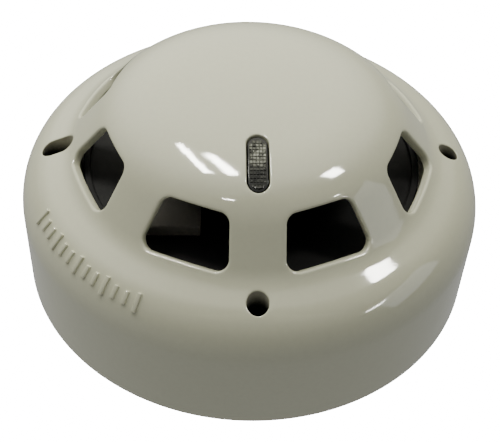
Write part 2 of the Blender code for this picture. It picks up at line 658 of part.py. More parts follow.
def build_head_screws(finish, head):
    cross = (0.0, 90.0)
    seat = WELL_FOOT_Z + WELL_FLOOR + TOUCH_GAP
    for number, azimuth in enumerate(WELL_AZIMUTHS, start=1):
        screw = screw_piece("cover_screw_%d" % number, finish, COVER_HEAD, seat, COVER_HEAD_HEIGHT,
                            COVER_SHANK, seat - COVER_SCREW_REACH, cross)
        place_screw(screw, polar(WELL_CIRCLE, azimuth), azimuth, head)
    for number, azimuth in enumerate(STANDOFF_AZIMUTHS[:2], start=1):
        screw = screw_piece("board_screw_%d" % number, finish, BOARD_HEAD, PART_Z, BOARD_HEAD_HEIGHT,
                            BOARD_SHANK, BOARD_TOP_Z - BOARD_SCREW_REACH, cross)
        place_screw(screw, polar(STANDOFF_OFFSET, azimuth), azimuth, head)


def build_lock_screw(finish, head):
    """The grub screw that is driven down onto the base's land to hold the head locked."""
    foot = LAND_TOP_Z + TOUCH_GAP + LOCK_TRAVEL
    top = foot + LOCK_LENGTH
    outline = ((0.0, top), (LOCK_SHANK, top), (LOCK_SHANK, foot + LOCK_TIP),
               (LOCK_SHANK - LOCK_TIP, foot), (0.0, foot))
    screw = turned("lock_screw", outline, finish, steps=SMALL_SIDES)
    place(screw, polar(LOCK_CIRCLE, LOCK_AZIMUTH), LOCK_AZIMUTH, head)
    cut(screw, tool_rod("socket_tool", LOCK_SOCKET, top - LOCK_SOCKET_DEPTH, 2 * top,
                        LOCK_CIRCLE, LOCK_AZIMUTH, 6))


# ---------------------------------------------------------------- sensor and electronics

def build_chamber(finish, head):
    """The black inner moulding: a tray over the board and a slotted drum round the sensor."""
    lip_top = TRAY_TOP_Z + TRAY_LIP
    edge = tray_radius()
    lip_inner = edge - TRAY_THICKNESS
    drum_inner = CHAMBER_RADIUS - CHAMBER_WALL
    roof = CHAMBER_TOP_Z - CHAMBER_WALL
    outline = ((0.0, CHAMBER_TOP_Z), (CHAMBER_RADIUS - CHAMBER_WALL, CHAMBER_TOP_Z),
               (CHAMBER_RADIUS, roof), (CHAMBER_RADIUS, TRAY_TOP_Z), (lip_inner, TRAY_TOP_Z),
               (lip_inner, lip_top), (edge, lip_top), (edge, TRAY_Z), (SENSOR_HOLE, TRAY_Z),
               (SENSOR_HOLE, TRAY_TOP_Z), (drum_inner, TRAY_TOP_Z), (drum_inner, roof), (0.0, roof))
    chamber = place(turned("inner_chamber", outline, finish), parent=head)
    slot_foot = TRAY_TOP_Z + CHAMBER_SLOT_FOOT
    slot_top = roof - CHAMBER_SLOT_FOOT
    slots = block_bm(CHAMBER_SLOT_WIDTH, 3 * CHAMBER_WALL, slot_top - slot_foot, slot_foot)
    middle = CHAMBER_RADIUS - CHAMBER_WALL / 2
    bmesh.ops.translate(slots, vec=(0.0, -middle, 0.0), verts=slots.verts)
    bmesh.ops.spin(slots, geom=[*slots.verts, *slots.edges, *slots.faces], cent=(0.0, 0.0, 0.0),
                   axis=(0.0, 0.0, 1.0), angle=2 * math.pi * (1 - 1 / CHAMBER_SLOTS),
                   steps=CHAMBER_SLOTS - 1, use_duplicate=True)
    cut(chamber, add_object("chamber_slot_tool", slots))
    for azimuth in TERMINAL_AZIMUTHS:
        join(chamber, tool_rod("leg_%d" % azimuth, LEG_RADIUS, WELL_FOOT_Z, TRAY_Z + TRAY_THICKNESS / 2,
                               leg_circle(), azimuth, 12))
    cut(chamber, tool_rod("guide_hole", GUIDE_RADIUS + PASS_GAP, BOARD_TOP_Z, TRAY_TOP_Z + TRAY_LIP,
                          GUIDE_CIRCLE, 0.0))


def build_thermistor(finish, head):
    """The sensing bead on two stiff leads, in the middle of the drum."""
    bead_z = (TRAY_TOP_Z + CHAMBER_TOP_Z) / 2
    bm = bmesh.new()
    bmesh.ops.create_uvsphere(bm, u_segments=SMALL_SIDES, v_segments=8, radius=BEAD_RADIUS)
    thermistor = place(add_object("sensing_thermistor", bm, finish), (0.0, 0.0, bead_z), parent=head)
    for number, side in enumerate((-1, 1), start=1):
        lead = add_object("lead_tool_%d" % number, rod_bm(LEAD_RADIUS, PART_Z, bead_z, 8))
        join(thermistor, place(lead, (side * LEAD_SPREAD, 0.0, 0.0)))


def build_lamp(finish, head):
    shoulder = PART_Z + LED_HEIGHT - LED_RADIUS
    dome = [(LED_RADIUS * math.sin(step * math.pi / 8), shoulder + LED_RADIUS * math.cos(step * math.pi / 8))
            for step in range(5)]
    outline = [*dome, (LED_RADIUS, PART_Z), (0.0, PART_Z)]
    place(turned("alarm_lamp", outline, finish, steps=SMALL_SIDES), polar(GUIDE_CIRCLE, 0.0), parent=head)


def board_part(name, bm, finish, x, y, head, turn=0.0):
    thing = add_object(name, bm, finish)
    return place(thing, (x * MM, y * MM, PART_Z), turn, head)


def build_electronics(finishes, head):
    """The parts on the board's upper side, placed in millimetres from its centre."""
    epoxy, metal, ceramic, film, glass = finishes
    chip = block_bm(*CHIP_SIZE)
    board_part("controller_chip", chip, epoxy, -13.0, 4.0, head, 90.0)
    board_part("bridge_rectifier", block_bm(*BRIDGE_SIZE), epoxy, 13.0, 9.0, head)
    board_part("smoothing_capacitor", rod_bm(CAN_RADIUS, 0.0, TALLEST_PART), metal, 12.0, -8.0, head)
    board_part("film_capacitor", block_bm(*FILM_SIZE), film, -12.0, -9.0, head)
    flat_side = block_bm(2 * TRANSISTOR_RADIUS, TRANSISTOR_RADIUS, 3 * TRANSISTOR_HEIGHT,
                         PART_Z - TRANSISTOR_HEIGHT)
    transistor = board_part("output_transistor", rod_bm(TRANSISTOR_RADIUS, 0.0, TRANSISTOR_HEIGHT),
                            epoxy, 20.0, 0.0, head)
    cut(transistor, place(add_object("transistor_flat", flat_side),
                          (20.0 * MM, 1.1 * TRANSISTOR_RADIUS, 0.0)))
    disc = rod_bm(VARISTOR_RADIUS, -VARISTOR_THICKNESS / 2, VARISTOR_THICKNESS / 2)
    bmesh.ops.rotate(disc, matrix=Matrix.Rotation(math.pi / 2, 3, "X"), verts=disc.verts)
    bmesh.ops.translate(disc, vec=(0.0, 0.0, VARISTOR_RADIUS), verts=disc.verts)
    board_part("surge_varistor", disc, ceramic, 2.0, 13.0, head)
    tube = rod_bm(REED_RADIUS, -REED_LENGTH / 2, REED_LENGTH / 2, 12)
    bmesh.ops.rotate(tube, matrix=Matrix.Rotation(math.pi / 2, 3, "Y"), verts=tube.verts)
    bmesh.ops.translate(tube, vec=(0.0, 0.0, REED_RADIUS), verts=tube.verts)
    board_part("reed_switch", tube, glass, 0.0, 22.0, head)
    for number in range(6):
        board_part("chip_resistor_%d" % (number + 1), block_bm(*RESISTOR_SIZE), epoxy,
                   -5.0 + 5.0 * (number % 3), -12.0 - 3.5 * (number // 3), head)
    for number in range(3):
        board_part("ceramic_capacitor_%d" % (number + 1), block_bm(*CERAMIC_SIZE), ceramic,
                   -22.0, -4.0 + 4.0 * number, head, 90.0)


def build_detector():
    ivory = material("ivory_plastic", "D9D6C8", 0.3)
    pale = material("pale_plastic", "DCDBD2", 0.45)
    black = material("black_plastic", "141416", 0.4)
    nickel = material("nickel_plate", "C9C6BE", 0.3, 1.0)
    zinc = material("zinc_plate", "B4B6B8", 0.35, 1.0)
    green = material("board_laminate", "1F5A3A", 0.5)
    clear = material("smoky_lens", "4A4A48", 0.15)
    red = material("red_lamp", "8C1A18", 0.2)
    bead = material("sensor_bead", "20242C", 0.25)
    epoxy = material("black_epoxy", "1B1B1D", 0.55)
    can = material("aluminium_can", "B9BCC0", 0.3, 1.0)
    ceramic = material("ceramic_body", "8A6A3C", 0.6)
    film = material("film_body", "B8922E", 0.45)
    glass = material("reed_glass", "6E8A78", 0.1)

    head = bpy.data.objects.new("head_pivot", None)
    PARTS.objects.link(head)
    build_base(pale)
    build_terminals(nickel, zinc)
    build_cover(ivory, head)
    build_lens(clear, head)
    build_housing(pale, head)
    build_blades(nickel, head)
    build_board(green, head)
    build_head_screws(zinc, head)
    build_lock_screw(zinc, head)
    build_chamber(black, head)
    build_thermistor(bead, head)
    build_lamp(red, head)
    build_electronics((epoxy, can, ceramic, film, glass), head)


clear_scene()
PARTS = new_collection("heat_detector")
TOOLS = new_collection("cutters")
build_detector()
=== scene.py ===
"""The finished look of a plug-in heat detector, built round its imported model.

Lengths are in metres, +Z points from the ceiling into the room and the indicator is on the -Y
side. An azimuth is in degrees from -Y towards +X. A run is a length in metres along the cover's
skin, from the middle of the crown down to the skirt's foot.
"""
import json
import math

import bmesh
import bpy
import numpy as np
from mathutils import Matrix, Vector


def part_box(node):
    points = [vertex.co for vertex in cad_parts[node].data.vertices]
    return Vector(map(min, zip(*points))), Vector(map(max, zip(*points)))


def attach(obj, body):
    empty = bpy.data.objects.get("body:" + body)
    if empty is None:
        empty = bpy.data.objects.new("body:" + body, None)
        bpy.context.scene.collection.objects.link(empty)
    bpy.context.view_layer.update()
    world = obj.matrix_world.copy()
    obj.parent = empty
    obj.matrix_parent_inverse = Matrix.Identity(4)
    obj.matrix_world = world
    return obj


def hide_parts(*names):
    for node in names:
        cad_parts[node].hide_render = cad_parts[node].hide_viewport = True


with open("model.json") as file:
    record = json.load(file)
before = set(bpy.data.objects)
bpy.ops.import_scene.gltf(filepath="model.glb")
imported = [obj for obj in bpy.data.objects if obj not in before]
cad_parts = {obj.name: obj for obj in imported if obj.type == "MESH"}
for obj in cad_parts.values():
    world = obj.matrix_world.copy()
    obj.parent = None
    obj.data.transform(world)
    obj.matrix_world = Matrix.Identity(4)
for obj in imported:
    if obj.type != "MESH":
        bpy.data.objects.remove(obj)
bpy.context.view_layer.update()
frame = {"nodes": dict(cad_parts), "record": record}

MM = 0.001
COVER_LOW, COVER_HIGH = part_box("outer_cover")
COVER_RADIUS = COVER_HIGH.x
CROWN_TOP = COVER_HIGH.z
SKIRT_FOOT = COVER_LOW.z
WALL = 2.0 * MM

# The cover's outline from the skirt up: a bend's radius, the slope it ends at, the straight after it
BENDS = ((11.1, 24.4, 2.6), (-9.4, 51.3, 7.9), (18.5, 21.6, 0.0), (32.2, 8.2, 0.0))
CONE_SLOPE = math.radians(51.3)
BEND_POINTS = 40

# Round the cover, 256 columns of faces make eight tiles, each 32 columns wide and 24 rows high
COLUMNS = 256
TILE = COLUMNS // 8
TILE_ROWS = 24
CROWN_ROWS, SKIRT_ROWS = 8, 36
SIDES = (TILE, TILE_ROWS, TILE, TILE_ROWS)
TURN_STEP = 360.0 / COLUMNS

# Where crown, dome, collar and rim end, on the outside of the cover's wall and on its inside
OUTER_BANDS = (11.0 * MM, 29.4 * MM, 39.6 * MM, 46.9 * MM)
INNER_BANDS = (11.0 * MM, 28.7 * MM, 38.6 * MM, 47.9 * MM)

# The cover's holes: eight air windows, three round screw wells, the long lock slot and the lens
WINDOW_RISE, WINDOW_DROP = 6.7 * MM, 4.6 * MM
WINDOW_TOP, WINDOW_FOOT = 13.6 * MM, 19.1 * MM
WINDOW_BEND = 2.4 * MM
WELL_CIRCLE, WELL_BORE, WELL_WALL = 43.35 * MM, 2.2 * MM, 1.65 * MM
WELL_FLOOR, WELL_HOLE, BOSS_FOOT = 13.7 * MM, 1.55 * MM, 11.7 * MM
LOCK_AZIMUTH = 270.0
LOCK_CIRCLE, LOCK_LENGTH, LOCK_WIDTH = 42.2 * MM, 7.0 * MM, 4.6 * MM
LENS_CIRCLE, LENS_LENGTH, LENS_WIDTH = 21.5 * MM, 12.8 * MM, 4.5 * MM
LIPS = {"lens": 0.3 * MM, "window": 0.55 * MM, "well": 0.2 * MM}
INNER_ROUND, FOOT_ROUND = 0.3 * MM, 0.8 * MM
NEAR_RING = 0.7 * MM
DIP_DEPTH, DIP_REACH = 2.3 * MM, 10.0

# The scale of ticks on the collar
TICKS, FIRST_TICK, TICK_STEP, TICK_CIRCLE = 13, -67.0, 3.15, 47.3 * MM
LONG_TICK, SHORT_TICK, TICK_WIDTH = 4.0 * MM, 2.8 * MM, 0.9 * MM

# The base: cable hole, screw holes and slots, bayonet ring, ledges with their stops, and lock land
PLATE_TOP, CABLE_RADIUS = 2.5 * MM, 12.0 * MM
TERMINAL_CIRCLE, TERMINAL_HOLE = 29.5 * MM, 4.1 * MM
FIXING_CIRCLE, FIXING_WIDTH, FIXING_LENGTH = 28.5 * MM, 4.8 * MM, 10.0 * MM
RING_INNER, RING_OUTER = 34.0 * MM, 36.0 * MM
LEDGE_AZIMUTHS = (60.0, 180.0, 300.0)
LEDGE_INNER, LEDGE_OUTER, STOP_OUTER = 35.0 * MM, 38.8 * MM, 38.5 * MM
LEDGE_HALF_ANGLE, LEDGE_THICKNESS, LEDGE_SETBACK = 12.0, 2.0 * MM, 0.3 * MM
STOP_ANGLE, NEAR_STOP, FAR_STOP = 2.5, -11.1, 30.6
LAND_INNER, LAND_OUTER, LAND_HEIGHT, LAND_HALF_ANGLE = 39.95 * MM, 44.45 * MM, 2.4 * MM, 6.0
OVERLAP = 0.2 * MM
DIAGONALS = (45.0, 135.0, 225.0, 315.0)

# The black chamber: a tray on four legs, and a drum with sixteen slots
TRAY_FOOT, TRAY_TOP, TRAY_LIP, TRAY_RIM = 25.9 * MM, 27.4 * MM, 1.1 * MM, 1.5 * MM
SENSOR_HOLE = 2.6 * MM
POST_CIRCLE, POST_HOLE = 25.5 * MM, 4.2 * MM
LEG_RADIUS, LEG_INSET = 1.8 * MM, 2.2 * MM
DRUM_OUTER, DRUM_INNER, DRUM_ROOF = 21.0 * MM, 19.2 * MM, 1.8 * MM
DRUM_SLOTS, RIB_HALF_ANGLE = 16, 5.25
SLOT_RISE, SLOT_DROP = 2.0 * MM, 3.8 * MM
# A grey step beside the drum, painted paler than the chamber to stand for light falling in by a window
STEP_LOW, STEP_HIGH = Vector((-25.0, -23.6, 27.2)) * MM, Vector((-11.0, -15.0, 30.0)) * MM

BEAD_RADIUS, NECK_RADIUS, LEAD_RADIUS, LEAD_SPREAD = 1.4 * MM, 0.42 * MM, 0.3 * MM, 0.75 * MM

# The lens: its gap in the cover, how deep its two faces lie, its light guide, and its prisms
LENS_GAP, LENS_SINK, LENS_DEPTH, LENS_FRAME = 0.3 * MM, 0.45 * MM, 2.6 * MM, 0.3 * MM
GUIDE_RADIUS, GUIDE_OFFSET, GUIDE_TOP = 1.6 * MM, 4.0 * MM, 44.5 * MM
PRISM_WIDTH, PRISM_LENGTH, PRISM_HEIGHT = 0.66 * MM, 0.8 * MM, 0.3 * MM

# The studio: how bright the floor, the ceiling, the light from below and the big softbox are
FLOOR_GLOW = 20.0
SKY = 0.105
BOUNCE = 0.48
SOFTBOX = 3.35
LAMP_WHITE = "FFFDF4"

CAMERA_AZIMUTH, CAMERA_ELEVATION, CAMERA_ROLL = -3.41, 43.76, 2.89
CAMERA_DISTANCE, CAMERA_TARGET = 238.3 * MM, 20.0 * MM


# ------------ helpers

def polar(radius, azimuth, height=0.0):
    angle = math.radians(azimuth)
    return Vector((radius * math.sin(angle), -radius * math.cos(angle), height))


def quarter(steps):
    """The angles of a quarter turn cut into steps."""
    return [math.pi / 2 * part / steps for part in range(steps + 1)]


def patch(bm, columns, rows, place, finish=0):
    """A grid of faces whose corner in a column and a row goes to place(column, row)."""
    made = bmesh.ops.create_grid(bm, x_segments=columns, y_segments=rows, size=0.5)
    for vert in made["verts"]:
        vert.co = place(round((vert.co.x + 0.5) * columns), round((vert.co.y + 0.5) * rows))
        for face in vert.link_faces:
            face.material_index = finish


def wall(bm, loops, finish=0):
    """Bands of faces through a chain of loops of points, each loop closed on itself."""
    count = len(loops[0])
    patch(bm, count, len(loops) - 1, lambda column, row: loops[row][column % count], finish)


def close_up(bm):
    """Merges points that meet, drops the faces and edges this leaves empty, and faces all outward."""
    bmesh.ops.remove_doubles(bm, verts=bm.verts, dist=0.001 * MM)
    flat = [face for face in bm.faces if face.calc_area() < 1e-14]
    bmesh.ops.delete(bm, geom=flat, context="FACES_ONLY")
    bare = [edge for edge in bm.edges if not edge.link_faces]
    bmesh.ops.delete(bm, geom=bare, context="EDGES")
    bmesh.ops.recalc_face_normals(bm, faces=bm.faces)


def merge(bm, made):
    """Adds a finished shape to another one."""
    mesh = bpy.data.meshes.new("shape")
    made.to_mesh(mesh)
    made.free()
    bm.from_mesh(mesh)
    bpy.data.meshes.remove(mesh)


def piece(name, bm, materials, body, replaces=(), smooth_angle=35.0):
    mesh = bpy.data.meshes.new(name)
    bm.to_mesh(mesh)
    bm.free()
    thing = bpy.data.objects.new(name, mesh)
    bpy.context.scene.collection.objects.link(thing)
    for material in materials:
        mesh.materials.append(material)
    mesh.shade_smooth()
    mesh.set_sharp_from_angle(angle=math.radians(smooth_angle))
    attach(thing, body)
    if replaces:
        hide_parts(*replaces)
    return thing


def corner_arms(corners, number):
    """The directions from a corner of a closed outline to the one before it and the one after."""
    corner = corners[number]
    return ((corners[number - 1] - corner).normalized(),
            (corners[(number + 1) % len(corners)] - corner).normalized())


def bent(corners, number, radius, steps):
    """Points along the bend that takes a corner's place."""
    corner = corners[number]
    before, after = corner_arms(corners, number)
    half = before.angle(after) / 2
    reach = radius / math.tan(half)
    centre = corner + (before + after).normalized() * (radius / math.sin(half))
    start, end = corner + before * reach - centre, corner + after * reach - centre
    turn = math.copysign(math.pi - 2 * half, start.x * end.y - start.y * end.x)
    return [centre + Matrix.Rotation(turn * part / steps, 2) @ start for part in range(steps + 1)]


def rounded(corners, radius, steps):
    """Points round a four-sided outline with bent corners, closest together in the bends.

    The corners go round from the top left, and each side runs from the middle of one bend to
    the middle of the next in its own number of steps.
    """
    half_bend, straight_share = 8, 0.55
    bends = [bent(corners, number, radius, 2 * half_bend) for number in range(4)]
    points = []
    for number, count in enumerate(steps):
        line = bends[number][half_bend:] + bends[(number + 1) % 4][:half_bend + 1]
        lengths = [(b - a).length for a, b in zip(line, line[1:])]
        lengths[half_bend] *= straight_share
        along = np.concatenate(([0.0], np.cumsum(lengths)))
        at = np.linspace(0.0, along[-1], count, endpoint=False)
        across = np.interp(at, along, [point.x for point in line])
        up = np.interp(at, along, [point.y for point in line])
        points += [Vector(pair) for pair in zip(across, up)]
    return points


def oblong(width, height):
    """The four corners of an upright oblong, from the top left."""
    x, y = width / 2, height / 2
    return [Vector((-x, y)), Vector((x, y)), Vector((x, -y)), Vector((-x, -y))]


def grown(corners, bend, amount):
    """Points round a four-sided outline with bent corners, moved outward by an amount."""
    moved = []
    for number, corner in enumerate(corners):
        before, after = corner_arms(corners, number)
        out = amount / math.sin(before.angle(after) / 2)
        moved.append(corner - (before + after).normalized() * out)
    return rounded(moved, bend + amount, SIDES)


# ------------ the cover's skin

class Skin:
    """A surface of revolution at one depth inside the cover's outline."""

    def __init__(self, inset, foot=SKIRT_FOOT):
        def outward(tilt):
            return Vector((math.sin(tilt), math.cos(tilt)))

        at, tilt = Vector((COVER_RADIUS, 0.0)), math.pi / 2
        points = [at - inset * outward(tilt)]
        for bend, slope, straight in BENDS:
            bend, slope, straight = bend * MM, math.radians(slope), straight * MM
            centre = at - bend * outward(tilt)
            for part in range(1, BEND_POINTS + 1):
                between = tilt + (slope - tilt) * part / BEND_POINTS
                points.append(centre + (bend - inset) * outward(between))
            at, tilt = centre + bend * outward(slope), slope
            if straight:
                if slope == CONE_SLOPE:
                    self.cone = at + straight / 2 * Vector((-math.cos(tilt), math.sin(tilt)))
                at = at + straight * Vector((-math.cos(tilt), math.sin(tilt)))
                points.append(at - inset * outward(tilt))
        crown = at.x / math.sin(tilt)
        centre = at - crown * outward(tilt)
        for part in range(1, BEND_POINTS + 1):
            points.append(centre + (crown - inset) * outward(tilt * (1 - part / BEND_POINTS)))
        lift = CROWN_TOP - (centre.y + crown)
        self.cone = self.cone + Vector((0.0, lift))
        points.reverse()
        self.radii = np.array([max(0.0, point.x) for point in points] + [COVER_RADIUS - inset])
        self.heights = np.array([point.y + lift for point in points] + [foot])
        steps = np.hypot(np.diff(self.radii), np.diff(self.heights))
        self.runs = np.concatenate(([0.0], np.cumsum(steps)))
        self.bent = len(points) - 1

    def at(self, azimuth, run):
        return polar(np.interp(run, self.runs, self.radii), azimuth,
                     np.interp(run, self.runs, self.heights))

    def run(self, radius):
        """How far down the skin a radius inside the skirt lies."""
        return float(np.interp(radius, self.radii[:self.bent], self.runs[:self.bent]))

    def height(self, radius):
        return float(np.interp(radius, self.radii[:self.bent], self.heights[:self.bent]))

    def spot(self, azimuth, across, out):
        """The azimuth and run of a point beside and in front of the axis, as an azimuth sees them."""
        return azimuth + math.degrees(math.atan2(across, out)), self.run(math.hypot(across, out))

    def below(self, outline, circle, azimuth):
        """An outline seen from straight above, as azimuths and runs on the skin."""
        return [self.spot(azimuth, point.x, circle - point.y) for point in outline]

    def behind(self, outline, azimuth):
        """An outline seen square to the cone, as azimuths and runs on the skin."""
        found = []
        for point in outline:
            low, high = -8 * MM, 8 * MM
            for _ in range(40):
                depth = (low + high) / 2
                out = (self.cone.x - point.y * math.cos(CONE_SLOPE) + depth * math.sin(CONE_SLOPE))
                level = self.cone.y + point.y * math.sin(CONE_SLOPE) + depth * math.cos(CONE_SLOPE)
                if level > self.height(math.hypot(point.x, out)):
                    high = depth
                else:
                    low = depth
            found.append(self.spot(azimuth, point.x, out))
        return found

    def loop(self, spots):
        return [self.at(*spot) for spot in spots]


class Level(Skin):
    """A flat face at one height, whose runs are radii."""

    def __init__(self, level):
        self.level = level

    def at(self, azimuth, run):
        return polar(run, azimuth, self.level)

    def run(self, radius):
        return radius


def around(skin, radius):
    """The line round a skin at one radius, as a run for any azimuth."""
    run = skin.run(radius)
    return lambda azimuth: run


def band(bm, skin, first, columns, rows, upper, lower):
    """A plain band of the skin between two lines, each given as a run for an azimuth."""
    def place(column, row):
        azimuth = (first + column) * TURN_STEP
        start, end = upper(azimuth), lower(azimuth)
        return skin.at(azimuth, start + (end - start) * row / rows)

    patch(bm, columns, rows, place)


def holed_tile(bm, skin, first, upper, lower, hole, near):
    """A tile of the skin in four rings of faces, from a hole's edge out to the tile's border.

    The first ring is near wide, and the others share what is left.
    """
    border = []
    for side, count in enumerate(SIDES):
        for step in range(count):
            part = step / count
            across, down = ((part, 0.0), (1.0, part), (1.0 - part, 1.0), (0.0, 1.0 - part))[side]
            azimuth = (first + across * TILE) * TURN_STEP
            start, end = upper(azimuth), lower(azimuth)
            border.append((azimuth, start + (end - start) * down))

    def place(column, row):
        inner, outer = hole[column % len(hole)], border[column % len(border)]
        gap = (skin.at(*outer) - skin.at(*inner)).length
        step = min(0.35, near / gap)
        part = (0.0, step, step + (1 - step) * 0.3, step + (1 - step) * 0.65, 1.0)[row]
        return skin.at(inner[0] + (outer[0] - inner[0]) * part,
                       inner[1] + (outer[1] - inner[1]) * part)

    patch(bm, len(border), 4, place)


# Every hole in the cover by its kind and azimuth: the radius of its middle, its corners and their
# bend. A window has no such radius, because it is cut square to the cone.
HOLES = {("lens", 0.0): (LENS_CIRCLE, oblong(LENS_WIDTH, LENS_LENGTH), 0.499 * LENS_WIDTH)}
for number in range(8):
    HOLES["window", 45.0 * number + 22.5] = (
        None,
        [Vector((-WINDOW_TOP / 2, WINDOW_RISE)), Vector((WINDOW_TOP / 2, WINDOW_RISE)),
         Vector((WINDOW_FOOT / 2, -WINDOW_DROP)), Vector((-WINDOW_FOOT / 2, -WINDOW_DROP))],
        WINDOW_BEND)
for azimuth in (0.0, 90.0, 180.0):
    HOLES["well", azimuth] = (WELL_CIRCLE, oblong(2 * WELL_BORE, 2 * WELL_BORE), 0.998 * WELL_BORE)
HOLES["well", LOCK_AZIMUTH] = (LOCK_CIRCLE, oblong(LOCK_WIDTH, LOCK_LENGTH), 0.499 * LOCK_WIDTH)


def hole_spots(skin, key, amount):
    """A hole's outline on a skin, grown by an amount, as azimuths and runs."""
    circle, corners, bend = HOLES[key]
    outline, azimuth = grown(corners, bend, amount), key[1]
    return skin.behind(outline, azimuth) if circle is None else skin.below(outline, circle, azimuth)


def lip(key, round_off, depth, turned_in):
    """Loops of points over a hole's rounded lip, from the skin at a depth into the hole's side.

    turned_in is 1 where the hole's side lies deeper than the skin, and -1 on the inner skin,
    where the side lies towards the outside.
    """
    loops = []
    for angle in quarter(4):
        skin = Skin(depth + turned_in * round_off * (1 - math.cos(angle)))
        loops.append(skin.loop(hole_spots(skin, key, round_off * (1 - math.sin(angle)))))
    return loops


def cover_side(bm, skin, crown, dome, collar, rim, spread):
    """One side of the cover's wall: its bands, and the tiles with holes in them.

    crown, dome, collar and rim are the radii where one band meets the next, and spread gives how
    much wider a hole is on this side than its bore.
    """
    def collar_line(azimuth):
        """The collar's upper line, which dips round the long lock slot to give its tile room."""
        off = abs((azimuth - LOCK_AZIMUTH + 180.0) % 360.0 - 180.0)
        dip = math.cos(math.radians(90.0 / DIP_REACH * off)) ** 2 if off < DIP_REACH else 0.0
        return skin.run(collar - DIP_DEPTH * dip)

    def tile(first, upper, lower, key):
        holed_tile(bm, skin, first, upper, lower, hole_spots(skin, key, spread[key[0]]), NEAR_RING)

    foot = float(skin.runs[-1])
    crown_line, dome_line, rim_line = [around(skin, radius) for radius in (crown, dome, rim)]
    band(bm, skin, 0, COLUMNS, CROWN_ROWS, lambda azimuth: 0.0, crown_line)
    band(bm, skin, TILE // 2, COLUMNS - TILE, TILE_ROWS, crown_line, dome_line)
    tile(-TILE // 2, crown_line, dome_line, ("lens", 0.0))
    for number in range(8):
        tile(TILE * number, dome_line, collar_line, ("window", 45.0 * number + 22.5))
        first, key = TILE * number - TILE // 2, ("well", 45.0 * number)
        if key in HOLES:
            tile(first, collar_line, rim_line, key)
        else:
            band(bm, skin, first, TILE, TILE_ROWS, collar_line, rim_line)
    band(bm, skin, 0, COLUMNS, SKIRT_ROWS, rim_line, lambda azimuth: foot)


def sunk(loop, height):
    return [Vector((point.x, point.y, height)) for point in loop]


def round_loop(centre, radius, height, loop):
    """The points of a loop moved straight towards a centre, or away, onto a circle."""
    moved = []
    for point in loop:
        arm = Vector((point.x - centre.x, point.y - centre.y, 0.0)).normalized()
        moved.append(Vector((centre.x, centre.y, height)) + arm * radius)
    return moved


def circle_loop(radius, height):
    return [polar(radius, column * TURN_STEP, height) for column in range(COLUMNS)]


def add_well(bm, inside, key, mouth):
    """A well under its lip: its bore, in the second finish with its painted shade, and the boss round
    it.

    The lock slot is open below. The others have a floor with a screw hole.
    """
    boss = inside.loop(hole_spots(inside, key, WELL_WALL))
    edge = mouth[-1]
    bore = [edge, sunk(edge, BOSS_FOOT)]
    if key[1] != LOCK_AZIMUTH:
        hole = round_loop(polar(WELL_CIRCLE, key[1]), WELL_HOLE, WELL_FLOOR, edge)
        bore = [edge, sunk(edge, WELL_FLOOR), hole, sunk(hole, BOSS_FOOT)]
    wall(bm, mouth)
    # The bore takes material 1, whose colour paints the shade down the well.
    wall(bm, bore, 1)
    wall(bm, [bore[-1], sunk(boss, BOSS_FOOT), boss])


def build_cover(material, bore_material):
    """The cover: an outer and an inner skin, joined through every hole and round the foot."""
    bm = bmesh.new()
    outside = Skin(0.0, SKIRT_FOOT + FOOT_ROUND)
    inside = Skin(WALL, SKIRT_FOOT + INNER_ROUND)
    cover_side(bm, outside, *OUTER_BANDS, LIPS)
    cover_side(bm, inside, *INNER_BANDS,
               {"lens": INNER_ROUND, "window": INNER_ROUND, "well": WELL_WALL})
    for key in HOLES:
        mouth = lip(key, LIPS[key[0]], 0.0, 1)
        if key[0] == "well":
            add_well(bm, inside, key, mouth)
        else:
            wall(bm, mouth + lip(key, INNER_ROUND, WALL, -1)[::-1])
    foot = [circle_loop(COVER_RADIUS - FOOT_ROUND * (1 - math.cos(angle)),
                        SKIRT_FOOT + FOOT_ROUND * (1 - math.sin(angle))) for angle in quarter(5)]
    foot += [circle_loop(COVER_RADIUS - WALL + INNER_ROUND * (1 - math.sin(angle)),
                         SKIRT_FOOT + INNER_ROUND * (1 - math.cos(angle))) for angle in quarter(3)]
    wall(bm, foot)
    close_up(bm)
    piece("cover_shell", bm, [material, bore_material], "head", ["outer_cover"], 50.0)
    return outside


def block(bm, size, bend, place):
    """A block with rounded edges, put in place by a matrix."""
    made = bmesh.new()
    bmesh.ops.create_cube(made, size=1.0)
    bmesh.ops.scale(made, vec=size, verts=made.verts)
    bmesh.ops.bevel(made, geom=made.edges, offset=bend, offset_type="OFFSET", segments=3,
                    profile=0.5, affect="EDGES", material=-1)
    bmesh.ops.transform(made, matrix=place, verts=made.verts)
    merge(bm, made)


def build_marks(material, skin):
    """A short scale of raised ticks on the collar, which shows how far the head turns to unlock."""
    bm = bmesh.new()
    drop = skin.height(TICK_CIRCLE - 0.5 * MM) - skin.height(TICK_CIRCLE + 0.5 * MM)
    slope = Matrix.Rotation(math.atan2(drop, 1.0 * MM), 4, "X")
    for number in range(TICKS):
        azimuth = FIRST_TICK + TICK_STEP * number
        length = LONG_TICK if number % 3 == 0 else SHORT_TICK
        turn = Matrix.Rotation(math.radians(azimuth), 4, "Z") @ slope
        block(bm, (TICK_WIDTH, length, TICK_WIDTH), 0.2 * MM,
              Matrix.Translation(skin.at(azimuth, skin.run(TICK_CIRCLE))) @ turn)
    piece("collar_marks", bm, [material], "head")


# ------------ mounting base and inner chamber

def soften(corners, bend):
    """A closed outline of radii and heights, with its corners bent, except those on the axis."""
    corners = [Vector(corner) for corner in corners]
    points = []
    for number, corner in enumerate(corners):
        points += [corner] if corner.x == 0.0 else bent(corners, number, bend, 4)
    return points


def bar(inner, outer, foot, top):
    return [(inner, foot), (outer, foot), (outer, top), (inner, top)]


